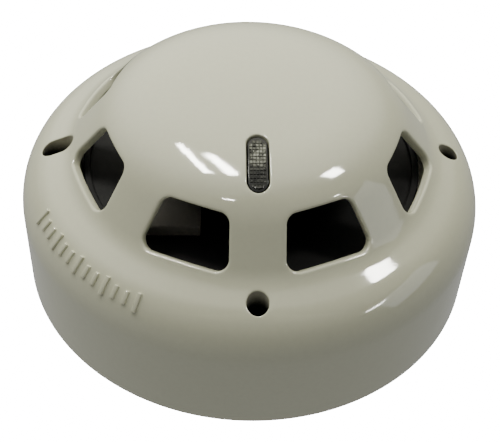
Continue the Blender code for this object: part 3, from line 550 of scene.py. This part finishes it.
def turned(bm, outline, start=0.0, end=360.0, steps=128, at=(0.0, 0.0, 0.0)):
    """Spins a closed outline of radii and heights about Z, and closes the ends of a part turn."""
    made = bmesh.new()
    section = [made.verts.new(polar(max(0.0, radius), start, height)) for radius, height in outline]
    edges = [made.edges.new(pair) for pair in zip(section, section[1:] + section[:1])]
    whole = end - start >= 360.0
    bmesh.ops.spin(made, geom=section + edges, cent=(0.0, 0.0, 0.0), axis=(0.0, 0.0, 1.0),
                   angle=math.radians(end - start), steps=steps, use_merge=whole)
    if not whole:
        bmesh.ops.holes_fill(made, edges=[edge for edge in made.edges if edge.is_boundary], sides=0)
    close_up(made)
    bmesh.ops.translate(made, vec=at, verts=made.verts)
    merge(bm, made)


def plate(bm, low, high, inner, outer, tiled, holes, bend):
    """A round flat plate with a hole in its middle, more holes round it and softened edges.

    tiled gives the radii between which the holes lie, and holes gives each one's radius, corners
    and corner bend by its azimuth.
    """
    made = bmesh.new()

    def spots(azimuth, amount):
        circle, corners, hole_bend = holes[azimuth]
        return Level(0.0).below(grown(corners, hole_bend, amount), circle, azimuth)

    for height in (low, high):
        face = Level(height)
        upper, lower = around(face, tiled[0]), around(face, tiled[1])
        band(made, face, 0, COLUMNS, 4, around(face, inner + bend), upper)
        band(made, face, 0, COLUMNS, 6, lower, around(face, outer - bend))
        for number in range(8):
            first, azimuth = TILE * number - TILE // 2, 45.0 * number
            if azimuth in holes:
                holed_tile(made, face, first, upper, lower, spots(azimuth, bend), bend)
            else:
                band(made, face, first, TILE, TILE_ROWS, upper, lower)
    sides = [(bend * (1 - math.sin(angle)), high - bend * (1 - math.cos(angle)))
             for angle in quarter(4)]
    sides += [(bend * (1 - math.sin(angle)), low + bend * (1 - math.cos(angle)))
              for angle in reversed(quarter(4))]
    for azimuth in holes:
        wall(made, [Level(height).loop(spots(azimuth, amount)) for amount, height in sides])
    wall(made, [circle_loop(inner + amount, height) for amount, height in sides])
    wall(made, [circle_loop(outer - amount, height) for amount, height in sides])
    close_up(made)
    merge(bm, made)


def build_base(material):
    """The base: a plate with its holes, the bayonet ring, and the ledges, stops and land on it."""
    bm = bmesh.new()
    low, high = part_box("mounting_base")
    holes = {azimuth: (TERMINAL_CIRCLE, oblong(TERMINAL_HOLE, TERMINAL_HOLE), 2.04 * MM)
             for azimuth in DIAGONALS}
    for azimuth in (90.0, 270.0):
        holes[azimuth] = (FIXING_CIRCLE, oblong(FIXING_WIDTH, FIXING_LENGTH), 2.39 * MM)
    plate(bm, low.z, PLATE_TOP, CABLE_RADIUS, high.x, (20.0 * MM, 36.0 * MM), holes, 0.25 * MM)
    root = PLATE_TOP - OVERLAP
    turned(bm, soften(bar(RING_INNER, RING_OUTER, root, high.z), 0.3 * MM), steps=192)
    ledge_top = high.z - LEDGE_SETBACK
    ledge_foot = ledge_top - LEDGE_THICKNESS
    for azimuth in LEDGE_AZIMUTHS:
        turned(bm, soften(bar(LEDGE_INNER, LEDGE_OUTER, ledge_foot, ledge_top), 0.3 * MM),
               azimuth - LEDGE_HALF_ANGLE, azimuth + LEDGE_HALF_ANGLE, 24)
        for turn, top in ((NEAR_STOP, ledge_top - LEDGE_THICKNESS / 2), (FAR_STOP, ledge_foot)):
            start = azimuth + turn
            turned(bm, soften(bar(LEDGE_INNER, STOP_OUTER, root, top), 0.2 * MM),
                   start, start + STOP_ANGLE, 6)
    turned(bm, soften(bar(LAND_INNER, LAND_OUTER, root, PLATE_TOP + LAND_HEIGHT), 0.3 * MM),
           LOCK_AZIMUTH - LAND_HALF_ANGLE, LOCK_AZIMUTH + LAND_HALF_ANGLE, 16)
    piece("base_plate", bm, [material], "base", ["mounting_base"])


def build_chamber(material):
    """The black inner moulding: a tray with a lip, four legs, and a slotted drum with a roof."""
    bm = bmesh.new()
    low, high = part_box("inner_chamber")
    edge = high.x
    post_hole = (POST_CIRCLE, oblong(POST_HOLE, POST_HOLE), 2.09 * MM)
    plate(bm, TRAY_FOOT, TRAY_TOP, SENSOR_HOLE, edge, (22.2 * MM, 33.0 * MM), {0.0: post_hole},
          0.2 * MM)
    turned(bm, soften(bar(edge - TRAY_RIM, edge, TRAY_TOP - 0.5 * MM, TRAY_TOP + TRAY_LIP), 0.3 * MM),
           steps=192)
    slot_foot, slot_top, roof = TRAY_TOP + SLOT_RISE, high.z - SLOT_DROP, high.z - DRUM_ROOF
    turned(bm, soften(bar(DRUM_INNER, DRUM_OUTER, TRAY_TOP - 0.1 * MM, slot_foot), 0.25 * MM))
    turned(bm, soften([(0.0, high.z), (DRUM_INNER, high.z), (DRUM_OUTER, roof), (DRUM_OUTER, slot_top),
                       (DRUM_INNER, slot_top), (DRUM_INNER, roof), (0.0, roof)], 0.25 * MM))
    rib = soften(bar(DRUM_INNER + 0.05 * MM, DRUM_OUTER - 0.05 * MM, slot_foot - 0.3 * MM,
                     slot_top + 0.3 * MM), 0.2 * MM)
    for number in range(DRUM_SLOTS):
        middle = 360.0 / DRUM_SLOTS * (number + 0.5)
        turned(bm, rib, middle - RIB_HALF_ANGLE, middle + RIB_HALF_ANGLE, 8)
    leg = soften(bar(0.0, LEG_RADIUS, low.z, TRAY_FOOT + 0.7 * MM), 0.3 * MM)
    for azimuth in DIAGONALS:
        turned(bm, leg, steps=40, at=polar(edge - LEG_INSET, azimuth))
    piece("slotted_chamber", bm, [material], "head", ["inner_chamber"])


def build_painted_light_step(material):
    """A flat grey step on the tray beside the drum, which shows through the front left window; its grey,
    paler than the chamber, is a painted pool of the light that falls in there.
    """
    bm = bmesh.new()
    block(bm, STEP_HIGH - STEP_LOW, 0.4 * MM, Matrix.Translation((STEP_LOW + STEP_HIGH) / 2))
    piece("painted_light_step", bm, [material], "head")


def build_bead(material):
    """The thermistor: a smooth bead that runs down onto its two stiff leads."""
    bm = bmesh.new()
    low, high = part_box("sensing_thermistor")
    centre = high.z - BEAD_RADIUS
    bmesh.ops.create_uvsphere(bm, u_segments=40, v_segments=24, radius=BEAD_RADIUS)
    for vert in bm.verts:
        vert.co.z = centre + vert.co.z
    lead = soften([(0.0, low.z), (LEAD_RADIUS, low.z), (LEAD_RADIUS, centre - 1.6 * MM),
                   (NECK_RADIUS, centre - 1.2 * MM), (NECK_RADIUS, centre), (0.0, centre)], 0.08 * MM)
    for side in (-1.0, 1.0):
        turned(bm, lead, steps=24, at=(side * LEAD_SPREAD, 0.0, 0.0))
    piece("thermistor_bead", bm, [material], "head", ["sensing_thermistor"])


# ------------ indicator window

def build_lens(material):
    """The indicator's window: a dark moulding that follows the dome, and its light guide."""
    bm = bmesh.new()
    upper, lower = Skin(LENS_SINK), Skin(LENS_DEPTH)
    width, length = LENS_WIDTH - 2 * LENS_GAP, LENS_LENGTH - 2 * LENS_GAP
    full = rounded(oblong(width, length), 0.498 * width, SIDES)

    def ring(skin, share):
        return skin.loop(skin.below([point * share for point in full], LENS_CIRCLE, 0.0))

    wall(bm, [ring(upper, share) for share in (0.0, 0.35, 0.7, 0.93, 1.0)]
         + [ring(lower, share) for share in (1.0, 0.5, 0.0)])
    close_up(bm)
    guide_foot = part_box("indicator_lens")[0].z
    guide = bmesh.ops.create_cone(bm, cap_ends=True, segments=48, radius1=GUIDE_RADIUS,
                                  radius2=GUIDE_RADIUS, depth=GUIDE_TOP - guide_foot)["verts"]
    bmesh.ops.translate(bm, vec=polar(LENS_CIRCLE + GUIDE_OFFSET, 0.0, (guide_foot + GUIDE_TOP) / 2),
                        verts=guide)
    lens = piece("indicator_window", bm, [material], "head", ["indicator_lens"])
    bevel = lens.modifiers.new("rounded edges", "BEVEL")
    bevel.width = 0.12 * MM
    bevel.segments = 2
    bevel.profile = 0.5
    bevel.limit_method = "ANGLE"
    bevel.angle_limit = math.radians(35.0)
    bevel.harden_normals = True


def build_prisms(material):
    """The grid of small prisms on the window, each a low pyramid with its top cut off."""
    bm = bmesh.new()
    upper = Skin(LENS_SINK)
    half = LENS_WIDTH / 2 - LENS_GAP - LENS_FRAME
    reach = LENS_LENGTH / 2 - LENS_GAP - LENS_FRAME
    for row in range(-7, 8):
        for column in range(-2, 3):
            x, y = column * PRISM_WIDTH, row * PRISM_LENGTH
            beyond = max(0.0, abs(y) + PRISM_LENGTH / 2 - (reach - half))
            if math.hypot(abs(x) + PRISM_WIDTH / 2, beyond) > half + 0.12 * MM:
                continue
            prism = bmesh.ops.create_cone(bm, cap_ends=True, segments=4, radius1=0.5, radius2=0.38,
                                          depth=1.0)["verts"]
            bmesh.ops.rotate(bm, matrix=Matrix.Rotation(math.radians(45), 3, "Z"), verts=prism)
            bmesh.ops.scale(bm, vec=(1.32 * PRISM_WIDTH, 1.32 * PRISM_LENGTH, PRISM_HEIGHT), verts=prism)
            out = LENS_CIRCLE - y
            level = upper.height(math.hypot(x, out)) + 0.04 * MM
            drop = upper.height(out - PRISM_LENGTH) - upper.height(out + PRISM_LENGTH)
            tilt = Matrix.Rotation(math.atan2(drop, 2 * PRISM_LENGTH), 4, "X")
            bmesh.ops.transform(bm, matrix=Matrix.Translation(Vector((x, -out, level))) @ tilt,
                                verts=prism)
    piece("indicator_prisms", bm, [material], "head", smooth_angle=20.0)


# ------------ finishes

def colour(code):
    channels = [int(code[start:start + 2], 16) / 255 for start in (0, 2, 4)]
    return tuple(channel / 12.92 if channel <= 0.04045 else ((channel + 0.055) / 1.055) ** 2.4
                 for channel in channels) + (1.0,)


def plug(tree, node, links):
    """Gives a node its inputs, each a plain value or another node's output."""
    for key, value in links.items():
        socket = node.inputs[key]
        if isinstance(value, bpy.types.NodeSocket):
            tree.links.new(value, socket)
        else:
            socket.default_value = value


def add(tree, kind, links=None, **settings):
    """Adds a node with its settings and inputs."""
    node = tree.nodes.new(kind)
    for name, value in settings.items():
        setattr(node, name, value)
    plug(tree, node, links or {})
    return node


def new_material(name):
    material = bpy.data.materials.new(name)
    material.use_nodes = True
    return material, material.node_tree, material.node_tree.nodes["Principled BSDF"]


def finish(name, dark, light, grain, roughness, lift, metallic=0.0, ior=1.5, stretch=(1.0, 1.0, 1.0)):
    """A made surface: two close tones in patches, uneven gloss and a fine relief.

    grain is the relief's size and lift its height, both in millimetres. stretch draws it out.
    """
    material, tree, shader = new_material(name)
    where = add(tree, "ShaderNodeTexCoord").outputs["Object"]
    drawn = add(tree, "ShaderNodeMapping", {"Vector": where, "Scale": stretch}).outputs["Vector"]
    patches = add(tree, "ShaderNodeTexNoise", {"Vector": where, "Scale": 1 / (9.0 * MM),
                                               "Detail": 4.0, "Roughness": 0.55}).outputs["Fac"]
    fine = add(tree, "ShaderNodeTexNoise", {"Vector": drawn, "Scale": 1 / (grain * MM),
                                            "Detail": 5.0, "Roughness": 0.6}).outputs["Fac"]
    both = add(tree, "ShaderNodeMath", {0: patches, 1: fine}, operation="ADD").outputs[0]
    tone = add(tree, "ShaderNodeMapRange", {"Value": both, "From Min": 0.7,
                                            "From Max": 1.3}).outputs[0]
    mixed = add(tree, "ShaderNodeMix", {"Factor": tone, 6: colour(dark), 7: colour(light)},
                data_type="RGBA").outputs[2]
    gloss = add(tree, "ShaderNodeMapRange", {"Value": both, "From Min": 0.7, "From Max": 1.3,
                                             "To Min": roughness[0],
                                             "To Max": roughness[1]}).outputs[0]
    relief = add(tree, "ShaderNodeBump", {"Height": fine, "Strength": 1.0, "Distance": lift * MM})
    plug(tree, shader, {"Base Color": mixed, "Roughness": gloss, "Normal": relief.outputs["Normal"],
                        "Metallic": metallic})
    if not metallic:
        shader.inputs["IOR"].default_value = ior
    return material


def ivory_cover():
    """Glossy ivory ABS, injection moulded in a polished tool.

    The eye sees sharp lamp reflections on a faintly wavy skin, a warm grey-ivory that drifts a
    little in tone, and very fine dust and scuffs that dull the gloss in patches.
    """
    material, tree, shader = new_material("moulded ivory ABS")
    where = add(tree, "ShaderNodeTexCoord").outputs["Object"]
    drift = add(tree, "ShaderNodeTexNoise", {"Vector": where, "Scale": 1 / (30 * MM), "Detail": 3.0,
                                             "Roughness": 0.5}).outputs["Fac"]
    speckle = add(tree, "ShaderNodeTexNoise", {"Vector": where, "Scale": 1 / (1.1 * MM),
                                               "Detail": 6.0, "Roughness": 0.62}).outputs["Fac"]
    wave = add(tree, "ShaderNodeTexNoise", {"Vector": where, "Scale": 1 / (6.5 * MM),
                                            "Detail": 1.5, "Roughness": 0.4}).outputs["Fac"]
    scuff = add(tree, "ShaderNodeTexVoronoi", {"Vector": where, "Scale": 1 / (5.0 * MM),
                                               "Randomness": 1.0}, feature="F1").outputs["Distance"]
    base = add(tree, "ShaderNodeMix", {"Factor": drift, 6: colour("D6D6BF"), 7: colour("DADAC4")},
               data_type="RGBA").outputs[2]
    grains = add(tree, "ShaderNodeMapRange", {"Value": speckle, "From Min": 0.35, "From Max": 0.75,
                                              "To Min": 0.0, "To Max": 0.10}).outputs[0]
    toned = add(tree, "ShaderNodeMix", {"Factor": grains, 6: base, 7: colour("B4B09F")},
                data_type="RGBA").outputs[2]
    dust = add(tree, "ShaderNodeMapRange", {"Value": scuff, "From Min": 0.0, "From Max": 0.8,
                                            "To Min": 0.0, "To Max": 0.02}).outputs[0]
    haze = add(tree, "ShaderNodeMapRange", {"Value": speckle, "From Min": 0.3, "From Max": 0.7,
                                            "To Min": 0.035, "To Max": 0.06}).outputs[0]
    gloss = add(tree, "ShaderNodeMath", {0: haze, 1: dust}, operation="ADD").outputs[0]
    broad = add(tree, "ShaderNodeBump", {"Height": wave, "Strength": 1.0, "Distance": 0.05 * MM})
    peel = add(tree, "ShaderNodeBump", {"Height": speckle, "Strength": 1.0, "Distance": 0.006 * MM,
                                        "Normal": broad.outputs["Normal"]})
    plug(tree, shader, {"Base Color": toned, "Roughness": gloss, "Normal": peel.outputs["Normal"],
                        "IOR": 1.54})
    return material


def shaded_bore():
    """The same ABS down a well, left rough by the core pin, its colour darkened with painted shade.

    The painted shade fades the wall from ivory at the mouth to near black a few millimetres down, along
    an uneven line.
    """
    material, tree, shader = new_material("ivory ABS bore with painted shade")
    where = add(tree, "ShaderNodeTexCoord").outputs["Object"]
    level = add(tree, "ShaderNodeSeparateXYZ", {"Vector": where}).outputs["Z"]
    bore_mottle = add(tree, "ShaderNodeTexNoise", {"Vector": where, "Scale": 1 / (0.5 * MM),
                                            "Detail": 4.0}).outputs["Fac"]
    uneven = add(tree, "ShaderNodeMath", {0: bore_mottle, 1: 0.8 * MM, 2: level},
                 operation="MULTIPLY_ADD").outputs[0]
    # Painted shade: ivory near the well's mouth, near black deeper down, with an uneven edge.
    unshaded = add(tree, "ShaderNodeMapRange", {"Value": uneven, "From Min": 26.9 * MM,
                                             "From Max": 30.4 * MM},
                interpolation_type="SMOOTHSTEP").outputs[0]
    tone = add(tree, "ShaderNodeMix", {"Factor": unshaded, 6: colour("0A0A0B"), 7: colour("B4B2A2")},
               data_type="RGBA").outputs[2]
    relief = add(tree, "ShaderNodeBump", {"Height": bore_mottle, "Strength": 1.0, "Distance": 0.03 * MM})
    plug(tree, shader, {"Base Color": tone, "Normal": relief.outputs["Normal"], "Roughness": 0.75,
                        "IOR": 1.3})
    return material


def prism_plastic():
    """Clear polycarbonate prisms over a dark hole, with their grey glints painted into the colour: the
    painted glints differ from cell to cell and row to row, and grow dim over the rows at the window's
    outer end.
    """
    material, tree, shader = new_material("prism grid with painted glints")
    where = add(tree, "ShaderNodeTexCoord").outputs["Object"]
    cells = add(tree, "ShaderNodeTexVoronoi", {"Vector": where, "Scale": 1 / (0.8 * MM)},
                feature="F1").outputs["Color"]
    grey = add(tree, "ShaderNodeSeparateColor", {"Color": cells}).outputs[0]
    place = add(tree, "ShaderNodeSeparateXYZ", {"Vector": where}).outputs["Y"]
    low = add(tree, "ShaderNodeMapRange", {"Value": place, "From Min": -23.4 * MM,
                                           "From Max": -22.0 * MM, "To Min": 0.1,
                                           "To Max": 1.0}).outputs[0]
    # Painted glints: a random grey for each cell, dimmed over the outer rows.
    painted_glint = add(tree, "ShaderNodeMath", {0: grey, 1: low}, operation="MULTIPLY").outputs[0]
    tone = add(tree, "ShaderNodeMix", {"Factor": painted_glint, 6: colour("0A0B0C"), 7: colour("B4B5AA")},
               data_type="RGBA").outputs[2]
    relief = add(tree, "ShaderNodeBump", {"Height": grey, "Strength": 1.0, "Distance": 0.01 * MM})
    plug(tree, shader, {"Base Color": tone, "Normal": relief.outputs["Normal"], "Roughness": 0.2,
                        "IOR": 1.2})
    return material


def reed_glass():
    """Drawn soda glass tube with a green tint: clear, with faint draw lines along it."""
    material, tree, shader = new_material("drawn green glass")
    where = add(tree, "ShaderNodeTexCoord").outputs["Object"]
    drawn = add(tree, "ShaderNodeMapping", {"Vector": where, "Scale": (0.1, 1.0, 1.0)}).outputs["Vector"]
    lines = add(tree, "ShaderNodeTexNoise", {"Vector": drawn, "Scale": 1 / (0.3 * MM),
                                             "Detail": 2.0}).outputs["Fac"]
    tint = add(tree, "ShaderNodeMix", {"Factor": lines, 6: colour("B4D2BE"), 7: colour("CDE4D4")},
               data_type="RGBA").outputs[2]
    relief = add(tree, "ShaderNodeBump", {"Height": lines, "Strength": 1.0, "Distance": 0.004 * MM})
    plug(tree, shader, {"Base Color": tint, "Normal": relief.outputs["Normal"], "Roughness": 0.04,
                        "IOR": 1.5, "Transmission Weight": 0.85})
    return material


def solder_mask():
    """Green solder mask over copper tracks: a glossy film that stands up over each track."""
    material, tree, shader = new_material("green solder mask")
    where = add(tree, "ShaderNodeTexCoord").outputs["Object"]
    tracks = add(tree, "ShaderNodeTexBrick", {"Vector": where, "Scale": 1 / (12 * MM),
                                              "Mortar Size": 0.03, "Mortar Smooth": 0.3,
                                              "Brick Width": 0.6, "Row Height": 0.17},
                 offset=0.37).outputs["Fac"]
    weave = add(tree, "ShaderNodeTexNoise", {"Vector": where, "Scale": 1 / (0.8 * MM),
                                             "Detail": 3.0}).outputs["Fac"]
    green = add(tree, "ShaderNodeMix", {"Factor": weave, 6: colour("12492B"), 7: colour("195A36")},
                data_type="RGBA").outputs[2]
    over = add(tree, "ShaderNodeMix", {"Factor": tracks, 6: green, 7: colour("2B7A48")},
               data_type="RGBA").outputs[2]
    gloss = add(tree, "ShaderNodeMapRange", {"Value": weave, "To Min": 0.22, "To Max": 0.36}).outputs[0]
    relief = add(tree, "ShaderNodeBump", {"Height": tracks, "Strength": 1.0, "Distance": 0.03 * MM})
    plug(tree, shader, {"Base Color": over, "Roughness": gloss, "Normal": relief.outputs["Normal"],
                        "IOR": 1.5})
    return material


def make_finishes():
    """The finish of each material slot in the record."""
    made = {"cover_plastic": ivory_cover()}
    # Satin off-white PBT, moulded in a spark-eroded tool: a fine even grain with little shine.
    made["base_plastic"] = finish("moulded off-white PBT", "CFCCC0", "D9D7CC", 0.45, (0.42, 0.56), 0.02)
    # Satin black ABS: near black, its grain shows only where light rakes it.
    made["black_plastic"] = finish("moulded black ABS", "050506", "09090B", 0.5, (0.6, 0.75), 0.02,
                                   ior=1.25)
    # Rolled brass strip under nickel: warm metal with faint rolling lines along the strip.
    made["nickel_plate"] = finish("nickel-plated brass strip", "B9B4A6", "D0CCC0", 0.25, (0.2, 0.34),
                                  0.004, metallic=1.0, stretch=(1.0, 1.0, 6.0))
    # Zinc plate on steel: cool metal with a slightly cloudy bloom.
    made["zinc_plate"] = finish("zinc-plated steel", "A6ABB0", "C8CBCD", 0.3, (0.26, 0.42), 0.006,
                                metallic=1.0)
    # Black oxide on an alloy grub screw: dark, oily and slightly brown.
    made["black_steel"] = finish("black oxide steel", "17161A", "2A2725", 0.2, (0.3, 0.46), 0.004,
                                 metallic=0.6)
    # Two-part dipped epoxy: a smooth drop with a wet shine.
    made["sensor_bead"] = finish("dipped epoxy bead", "10131A", "1C212B", 0.6, (0.1, 0.2), 0.01)
    # Tinted casting epoxy round a light-emitting die: deep red and glossy.
    made["lamp_epoxy"] = finish("red cast epoxy", "6E0F0C", "8E1712", 0.7, (0.08, 0.16), 0.004)
    # Transfer-moulded epoxy of a chip package: matt, with a sandy grain.
    made["black_epoxy"] = finish("transfer-moulded epoxy", "131315", "222224", 0.16, (0.5, 0.68), 0.01)
    # Drawn aluminium can: bright, with drawing lines down its side.
    made["aluminium_can"] = finish("drawn aluminium", "B4B8BC", "D2D5D8", 0.3, (0.22, 0.36), 0.004,
                                   metallic=1.0, stretch=(5.0, 5.0, 0.4))
    # Epoxy-filled box of a film capacitor: honey yellow with a soft shine.
    made["film_body"] = finish("cast yellow epoxy box", "A87A22", "C0943A", 0.5, (0.26, 0.4), 0.008)
    # Dipped lacquer on a varistor disc: blue, slightly lumpy.
    made["varistor_coat"] = finish("dipped blue lacquer", "1E3D70", "2C5390", 0.8, (0.2, 0.32), 0.02)
    # Fired barium titanate: brown and dull like a biscuit.
    made["ceramic_body"] = finish("fired ceramic", "7A5B34", "94723F", 0.14, (0.5, 0.66), 0.008)
    # Smoke-tinted polycarbonate, moulded and polished: almost black, with a wet edge.
    made["lens_clear"] = finish("smoky polycarbonate", "0C0D0F", "18191B", 0.5, (0.08, 0.18), 0.004,
                                ior=1.35)
    made["reed_glass"] = reed_glass()
    made["board_laminate"] = solder_mask()
    return made


# ------------ stage, light and camera

def build_stage():
    """A plain white floor under the detector, which cannot be seen from below."""
    bm = bmesh.new()
    bmesh.ops.create_grid(bm, x_segments=1, y_segments=1, size=6.0)
    mesh = bpy.data.meshes.new("floor")
    bm.to_mesh(mesh)
    bm.free()
    floor = bpy.data.objects.new("floor", mesh)
    bpy.context.scene.collection.objects.link(floor)
    floor.location.z = -0.2 * MM
    material, tree, shader = new_material("pale studio floor")
    plug(tree, shader, {"Base Color": colour("FAFAF9"), "Roughness": 0.9, "Specular IOR Level": 0.1,
                        "Emission Color": (1.0, 1.0, 1.0, 1.0), "Emission Strength": FLOOR_GLOW})
    below = add(tree, "ShaderNodeNewGeometry").outputs["Backfacing"]
    clear = add(tree, "ShaderNodeBsdfTransparent").outputs["BSDF"]
    seen = add(tree, "ShaderNodeMixShader", {0: below, 1: shader.outputs["BSDF"],
                                             2: clear}).outputs["Shader"]
    plug(tree, tree.nodes["Material Output"], {"Surface": seen})
    mesh.materials.append(material)
    floor.visible_diffuse = False
    floor.visible_glossy = False


def lamp(name, start, end, width, radiance, tint=LAMP_WHITE, aim=(0.0, 0.0, 0.03), spread=180.0):
    """A flat lamp from one point to another, as bright as radiance says and seen only in gloss.

    It faces aim, and its light keeps within spread degrees.
    """
    start, end = Vector(start), Vector(end)
    middle = (start + end) / 2
    data = bpy.data.lights.new(name, "AREA")
    data.shape = "RECTANGLE"
    data.size = (end - start).length
    data.size_y = width
    data.color = colour(tint)[:3]
    data.energy = radiance * math.pi * data.size * data.size_y
    data.spread = math.radians(spread)
    thing = bpy.data.objects.new(name, data)
    bpy.context.scene.collection.objects.link(thing)
    back = (middle - Vector(aim)).normalized()
    along = (end - start) - back * (end - start).dot(back)
    along.normalize()
    turn = Matrix((along, back.cross(along), back)).transposed().to_4x4()
    thing.matrix_world = Matrix.Translation(middle) @ turn
    thing.visible_camera = False
    thing.visible_diffuse = False


def build_sky():
    """A soft glow from above and behind and a paler bounce from below, before a white backdrop."""
    world = bpy.data.worlds.new("studio")
    bpy.context.scene.world = world
    world.use_nodes = True
    tree = world.node_tree
    toward = add(tree, "ShaderNodeTexCoord").outputs["Generated"]
    up = add(tree, "ShaderNodeSeparateXYZ", {"Vector": toward}).outputs["Z"]
    even = add(tree, "ShaderNodeMapRange", {"Value": up, "From Min": -0.2, "From Max": 0.2,
                                            "To Min": BOUNCE, "To Max": SKY}).outputs[0]
    near = add(tree, "ShaderNodeVectorMath", {0: toward, 1: tuple(polar(0.63, 192.0, 0.777))},
               operation="DOT_PRODUCT").outputs["Value"]
    lobe = add(tree, "ShaderNodeMapRange", {"Value": near, "From Min": 0.45, "From Max": 1.0},
               interpolation_type="SMOOTHSTEP").outputs[0]
    glow = add(tree, "ShaderNodeMath", {0: lobe, 1: SOFTBOX, 2: even},
               operation="MULTIPLY_ADD").outputs[0]
    tint = add(tree, "ShaderNodeMix", {"Factor": lobe, 6: colour("F3F4F1"), 7: colour("FBFAE8")},
               data_type="RGBA").outputs[2]
    direct = add(tree, "ShaderNodeLightPath").outputs["Is Camera Ray"]
    shown = add(tree, "ShaderNodeMix", {"Factor": direct, "A": glow, "B": FLOOR_GLOW}).outputs[0]
    plug(tree, tree.nodes["Background"], {"Color": tint, "Strength": shown})


def build_lamps():
    """The lamps that shine back from the cover, two of them with snoots that keep them to a spot."""
    lamp("left tube", (-0.395, 0.495, 1.063), (-0.296, 0.104, 1.204), 0.065, 160.0)
    lamp("right tube", (-0.226, 0.412, 1.145), (-0.120, 0.112, 1.232), 0.07, 160.0)
    lamp("crown snoot", (-0.0306, -0.0669, 0.1324), (-0.0189, -0.0700, 0.1336), 0.0025, 0.4,
         aim=polar(29.4 * MM, -10.3, 43.2 * MM), spread=10.0)
    lamp("window snoot", (0.0820, -0.0595, 0.1091), (0.0869, -0.0538, 0.1064), 0.002, 0.4,
         aim=polar(30.8 * MM, 29.5, 42.1 * MM), spread=10.0)
    lamp("round lamp", (0.580, 0.12, 1.08), (0.73, 0.03, 1.0), 0.17, 120.0)
    lamp("low slit", (0.909, -0.707, 0.485), (1.001, -0.531, 0.524), 0.02, 120.0)
    lamp("side window", (1.15, -0.65, 0.35), (1.15, 0.0, 0.45), 0.5, 1.7, "F4F8FF")


def build_camera():
    data = bpy.data.cameras.new("camera")
    data.sensor_width = 36.0
    data.lens = 76.06
    data.shift_x = -0.0006
    data.shift_y = -0.077
    data.clip_start = 0.01
    camera = bpy.data.objects.new("camera", data)
    bpy.context.scene.collection.objects.link(camera)
    tilt = math.radians(CAMERA_ELEVATION)
    away = polar(math.cos(tilt), CAMERA_AZIMUTH, math.sin(tilt))
    turn = away.to_track_quat("Z", "Y").to_matrix().to_4x4()
    place = Vector((0.0, 0.0, CAMERA_TARGET)) + away * CAMERA_DISTANCE
    camera.matrix_world = (Matrix.Translation(place) @ turn
                           @ Matrix.Rotation(math.radians(CAMERA_ROLL), 4, "Z"))
    bpy.context.scene.camera = camera


FINISHES = make_finishes()
for subpart in frame["record"]["subparts"]:
    slots = frame["nodes"][subpart["node"]].data.materials
    slots.clear()
    slots.append(FINISHES[subpart["material_slot"]])
cover_skin = build_cover(FINISHES["cover_plastic"], shaded_bore())
build_marks(FINISHES["cover_plastic"], cover_skin)
build_base(FINISHES["base_plastic"])
build_chamber(FINISHES["black_plastic"])
build_bead(FINISHES["sensor_bead"])
# Satin grey ABS, painted paler than the black chamber: a painted pool of the light that falls in by a
# window.
build_painted_light_step(finish("grey ABS painted with window light", "827E7A", "8E8A85", 0.5, (0.5, 0.65), 0.02, ior=1.35))
build_lens(FINISHES["lens_clear"])
build_prisms(prism_plastic())
build_stage()
build_sky()
build_lamps()
build_camera()
